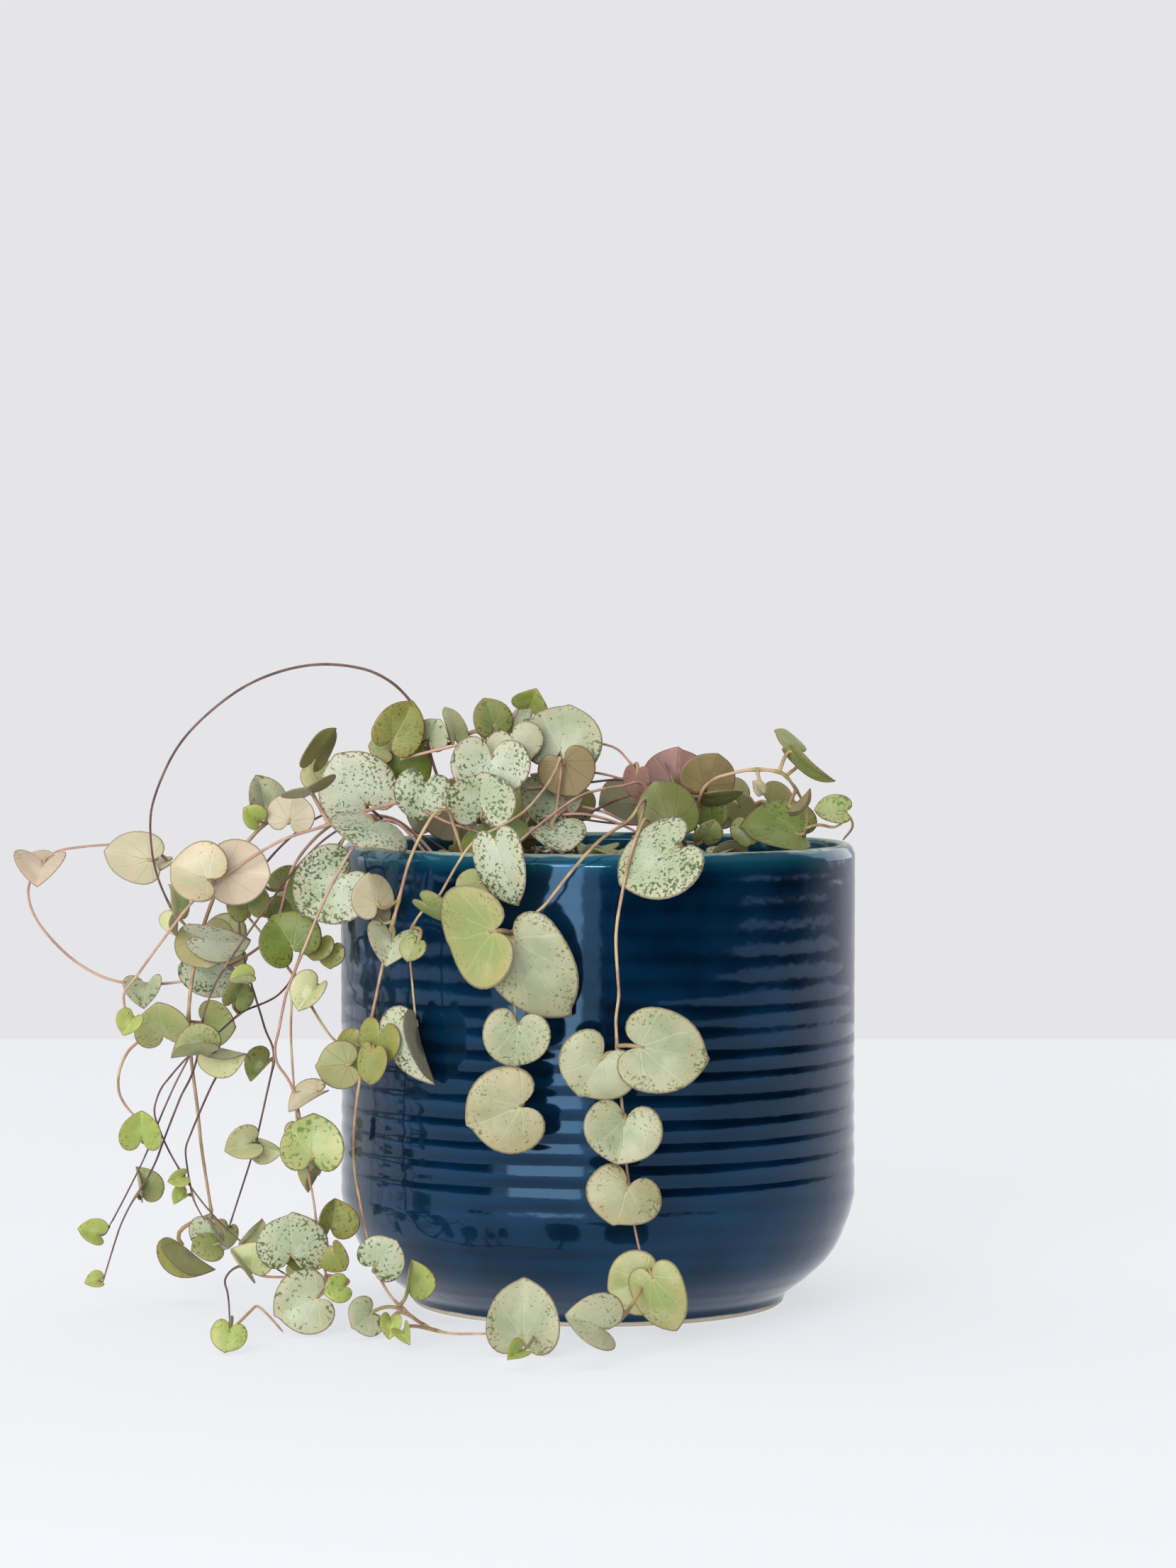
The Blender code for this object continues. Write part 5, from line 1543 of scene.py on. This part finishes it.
@dataclass
class Pot:
    """The thrown pot, with its ridges, its rounded rim and its bare foot.

    The foot and the rim are (radius, height) pairs, from the foot's radius and from the rim's.
    The ridges are deepest about deepest_at, and the wall is a little out of round.
    """

    shape: PotShape = PotShape()
    pitch: float = 5.5
    depth: float = 0.17
    first_ridge: float = 6.0
    deepest_at: float = 48.0
    deep_reach: float = 24.0
    ring: float = 0.62
    sides: int = 144
    out_of_round: float = 0.0006
    seed: int = 3
    foot: Pairs = ((-6.0, 0.9), (-4.5, 0.0), (-0.6, 0.0), (0.0, 0.5), (0.35, 1.4))
    rim: Pairs = ((-0.25, -2.1), (-0.8, -0.9), (-1.5, -0.25), (-2.1, -0.05), (-2.8, -0.3),
                  (-3.4, -1.0), (-3.8, -2.2), (-4.0, -6.0), (-4.0, -56.0))

    def profile(self) -> list[tuple[float, float]]:
        """The (radius, height) pairs from the foot's middle over the rim to the floor inside.

        Returns:
            The outline that is turned.
        """
        rng = random.Random(self.seed)
        shape = self.shape
        crests = []
        height = self.first_ridge
        while height < shape.height - 4.0:
            crests.append((height, rng.uniform(0.35, 1.3)))
            height += self.pitch * rng.uniform(0.88, 1.12)
        foot = [(0.0, 0.9)] + [(shape.foot + r, h) for r, h in self.foot]
        outer = []
        z = 2.4
        while z < shape.height - 2.6:
            outer.append((self.flank_radius(z) - self.groove(z, crests), z))
            z += self.ring
        rim = [(shape.radius + r, shape.height + h) for r, h in self.rim]
        floor = shape.inside[0][1] - 0.4
        return foot + outer + rim + list(reversed(shape.inside)) + [(20.0, floor), (0.0, floor)]

    def flank_radius(self, z: float) -> float:
        """How wide the pot is without its ridges.

        Args:
            z: A height.

        Returns:
            The smooth outer radius there.
        """
        if z >= self.shape.straight_from:
            return self.shape.radius
        rows = self.shape.rows(self.shape.foot - 0.2) + [(60.0, self.shape.radius)]
        at = max(k for k, (h, _) in enumerate(rows) if h <= z)
        line = [Vector(row) for row in rows]
        spots = [line[max(0, min(len(line) - 1, at + j))] for j in (-1, 0, 1, 2)]
        t = (z - spots[1].x) / (spots[2].x - spots[1].x)
        return between([spot.y for spot in spots], t)

    def groove(self, z: float, crests: list[tuple[float, float]]) -> float:
        """How far the wall lies behind its crests at a height.

        Args:
            z: The height.
            crests: The ridges' heights and how strong each is.

        Returns:
            The depth.
        """
        lower = max((c for c in crests if c[0] <= z), default=crests[0])
        upper = min((c for c in crests if c[0] > z), default=(lower[0] + self.pitch, 1.0))
        t = (z - lower[0]) / max(0.1, upper[0] - lower[0])
        wide = (1 - math.cos(2 * math.pi * max(0.0, min(1.0, t)))) / 2
        strong = 0.22 + 0.95 * math.exp(-((z - self.deepest_at) / self.deep_reach) ** 2)
        return self.depth * lower[1] * strong * wide ** 1.3 * min(1.0, z / 12.0)

    def build(self, finish: GlazeFinish) -> bpy.types.Object:
        """Model and glaze it.

        Args:
            finish: Its glaze.

        Returns:
            The piece.
        """
        shape = self.shape
        bm = bmesh.new()
        crest = bm.verts.layers.float.new("crest")
        turned(bm, self.profile(), self.sides)
        for vert in bm.verts:
            radius, z = vert.co.xy.length, vert.co.z
            if radius > shape.foot and 2.0 < z < shape.height - 2.5:
                vert[crest] = 1.0 - (self.flank_radius(z) - radius) / self.depth
                wave = math.sin(2 * math.atan2(vert.co.y, vert.co.x) + 0.07 * z)
                grow = 1.0 + self.out_of_round * wave * min(1.0, (shape.height - z) / 20)
                vert.co.x *= grow
                vert.co.y *= grow
        piece = finished(bm, "glazed_pot", [finish.made("blue glaze")])
        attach(piece, "root")
        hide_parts("pot")
        return piece


@dataclass
class Soil:
    """The soil in the pot, with a crumbly top."""

    shape: PotShape = PotShape()
    bump: float = 1.6
    grain: float = 0.7
    gap: float = 0.7
    rings: int = 18
    sides: int = 72
    crumbs: int = 420
    seed: int = 11

    def height(self, x: float, y: float) -> float:
        """How high the crumbly top is.

        Args:
            x: The place's first coordinate.
            y: Its second one.

        Returns:
            The height there.
        """
        place = Vector((x, y, self.shape.soil))
        return (self.shape.soil + self.bump * (noise.noise(place * 0.06) - 0.3)
                + self.grain * noise.noise(place * 0.35))

    def build(self, finish: SoilFinish) -> bpy.types.Object:
        """Model and dress it.

        Args:
            finish: Its colours.

        Returns:
            The piece.
        """
        level = self.shape.soil
        wall = [(r - self.gap, h + 0.3) for r, h in self.shape.inside]
        edge = wall[-1][0]
        top = [(edge * k / self.rings, level) for k in range(self.rings - 1, -1, -1)]
        bm = bmesh.new()
        turned(bm, [(0.0, wall[0][1])] + wall + [(edge, level - 2.0)] + top, self.sides)
        for vert in bm.verts:
            if vert.co.z > level - 0.5:
                vert.co.z = self.height(vert.co.x, vert.co.y)
        rng = random.Random(self.seed)
        for _ in range(self.crumbs):
            angle, reach = rng.uniform(0, 2 * math.pi), (edge - 2.5) * math.sqrt(rng.random())
            x, y = reach * math.cos(angle), reach * math.sin(angle)
            size = rng.uniform(0.6, 1.7)
            lump = bmesh.ops.create_icosphere(bm, subdivisions=1, radius=size)["verts"]
            for vert in lump:
                vert.co *= 1.0 + 0.5 * noise.noise(vert.co * 1.1 + Vector((x, y, 0)))
            spin = Matrix.Rotation(rng.uniform(0, 6), 3, (0.3, 0.5, 0.8))
            bmesh.ops.rotate(bm, verts=lump, matrix=spin)
            bmesh.ops.translate(bm, verts=lump, vec=(x, y, self.height(x, y) + 0.25 * size))
        piece = finished(bm, "potting_soil", [finish.made("soil")])
        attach(piece, "root")
        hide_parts("soil")
        return piece


# ---- stage

@dataclass(frozen=True)
class Softbox:
    """A soft lamp: where it stands and its width and height in metres, and its power in watts."""

    name: str
    place: Triple
    width: float
    height: float
    power: float
    aim: Triple = (0.0, 0.0, 0.09)

    def light(self) -> bpy.types.Object:
        """Put it up.

        Returns:
            The lamp, which the camera doesn't see.
        """
        data = bpy.data.lights.new(self.name, "AREA")
        data.shape = "RECTANGLE"
        data.size, data.size_y = self.width, self.height
        data.energy = self.power
        lamp = bpy.data.objects.new(self.name, data)
        turn = (Vector(self.aim) - Vector(self.place)).to_track_quat("-Z", "Y").to_matrix()
        lamp.matrix_world = Matrix.Translation(self.place) @ turn.to_4x4()
        lamp.visible_camera = False
        bpy.context.scene.collection.objects.link(lamp)
        return lamp


@dataclass(frozen=True)
class Studio:
    """The pale floor, the backdrop's tone, the lamps and the photograph's camera.

    The floor reaches from front to back, in metres. The surroundings are dark but for a pale part
    behind and above, which fades in over these ranges of its direction.
    """

    backdrop: Colour = (229, 229, 231)
    dark: Colour = (26, 28, 31)
    pale: Colour = (206, 207, 210)
    behind: tuple[float, float] = (0.15, 0.75)
    above: tuple[float, float] = (0.35, 0.9)
    boxes: tuple[Softbox, ...] = (
        Softbox("front left softbox", (-0.5, -1.16, 0.42), 0.5, 0.2, 4.0, (0.0, 0.0, 0.2)),
        Softbox("front left panel", (-0.5, -1.18, 0.34), 0.75, 1.1, 8.0, (0.0, 0.0, 0.2)),
        Softbox("front left scrim", (-0.5, -1.2, 0.36), 1.2, 1.3, 6.0, (0.0, 0.0, 0.2)),
        Softbox("front lamp", (-0.03, -1.55, 0.36), 0.26, 0.14, 5.0),
        Softbox("top softbox", (-0.1, 0.0, 1.5), 1.8, 1.8, 7.0),
        Softbox("right softbox", (1.1, 1.25, 0.7), 1.2, 1.4, 6.0),
        Softbox("left softbox", (-1.5, 0.6, 0.7), 1.4, 1.4, 6.5),
    )
    front: float = -0.5
    back: float = 0.735
    reach: float = 1.3

    def lay_floor(self, finish: FloorFinish) -> None:
        """The floor, whose far edge is the photograph's horizon line.

        Args:
            finish: Its paper.
        """
        bm = bmesh.new()
        bmesh.ops.create_grid(bm, x_segments=1, y_segments=1, size=self.reach)
        for vert in bm.verts:
            vert.co.y = self.front if vert.co.y < 0 else self.back
        floor = finished(bm, "floor", [finish.made("pale paper")], 1.0)

    def light(self) -> None:
        """The lamps, and a world that shows the backdrop's tone and lights from the back."""
        for box in self.boxes:
            box.light()
        world = bpy.data.worlds.new("studio")
        bpy.context.scene.world = world
        world.use_nodes = True
        g = Nodes(world.node_tree)
        way = g.node("TexCoord", {}, "Generated")
        split = (g.node("SeparateXYZ", {0: way}, axis) for axis in (1, 2))
        fades = [g.node("MapRange", {0: value, 1: low, 2: high})
                 for value, (low, high) in zip(split, (self.behind, self.above))]
        around = g.mix(g.calc("MAXIMUM", *fades), self.dark, self.pale)
        seen = g.node("LightPath", {}, "Is Camera Ray")
        g.feed(g.tree.nodes["Background"], {"Color": g.mix(seen, around, self.backdrop)})

    def set_camera(self) -> None:
        """The camera where the photograph was taken from."""
        data = bpy.data.cameras.new("photograph")
        data.sensor_width = SENSOR
        data.sensor_fit = "AUTO"
        data.lens = LENS
        camera = bpy.data.objects.new("photograph", data)
        camera.location = EYE * MM
        camera.rotation_euler = (math.radians(90 - TILT_DOWN), 0.0, 0.0)
        scene = bpy.context.scene
        scene.collection.objects.link(camera)
        scene.camera = camera
        scene.view_settings.view_transform = "Standard"


def main() -> None:
    """Build every piece in order, light it and finish."""
    logging.basicConfig(level=logging.INFO, format="%(message)s")
    growths = Planting().grow()
    LOG.info("planned %d vines with %d leaves", len(growths), sum(len(g.leaves) for g in growths))
    finishes = {look: finish.made(f"{kind}, {look.value}")
                for kind, looks in (("leaf", LEAF_FINISHES), ("stem", BARK_FINISHES))
                for look, finish in looks.items()}
    LOG.info("built %s", Pot().build(GlazeFinish()).name)
    LOG.info("built %s", Soil().build(SoilFinish()).name)
    template = Blade().template()
    for growth in growths:
        piece = LeafyStem(growth, template).build(finishes)
        LOG.info("built %s with %d faces", piece.name, len(piece.data.polygons))
    bpy.data.meshes.remove(template)
    studio = Studio()
    studio.lay_floor(FloorFinish())
    studio.light()
    studio.set_camera()


if __name__ == "__main__":
    main()
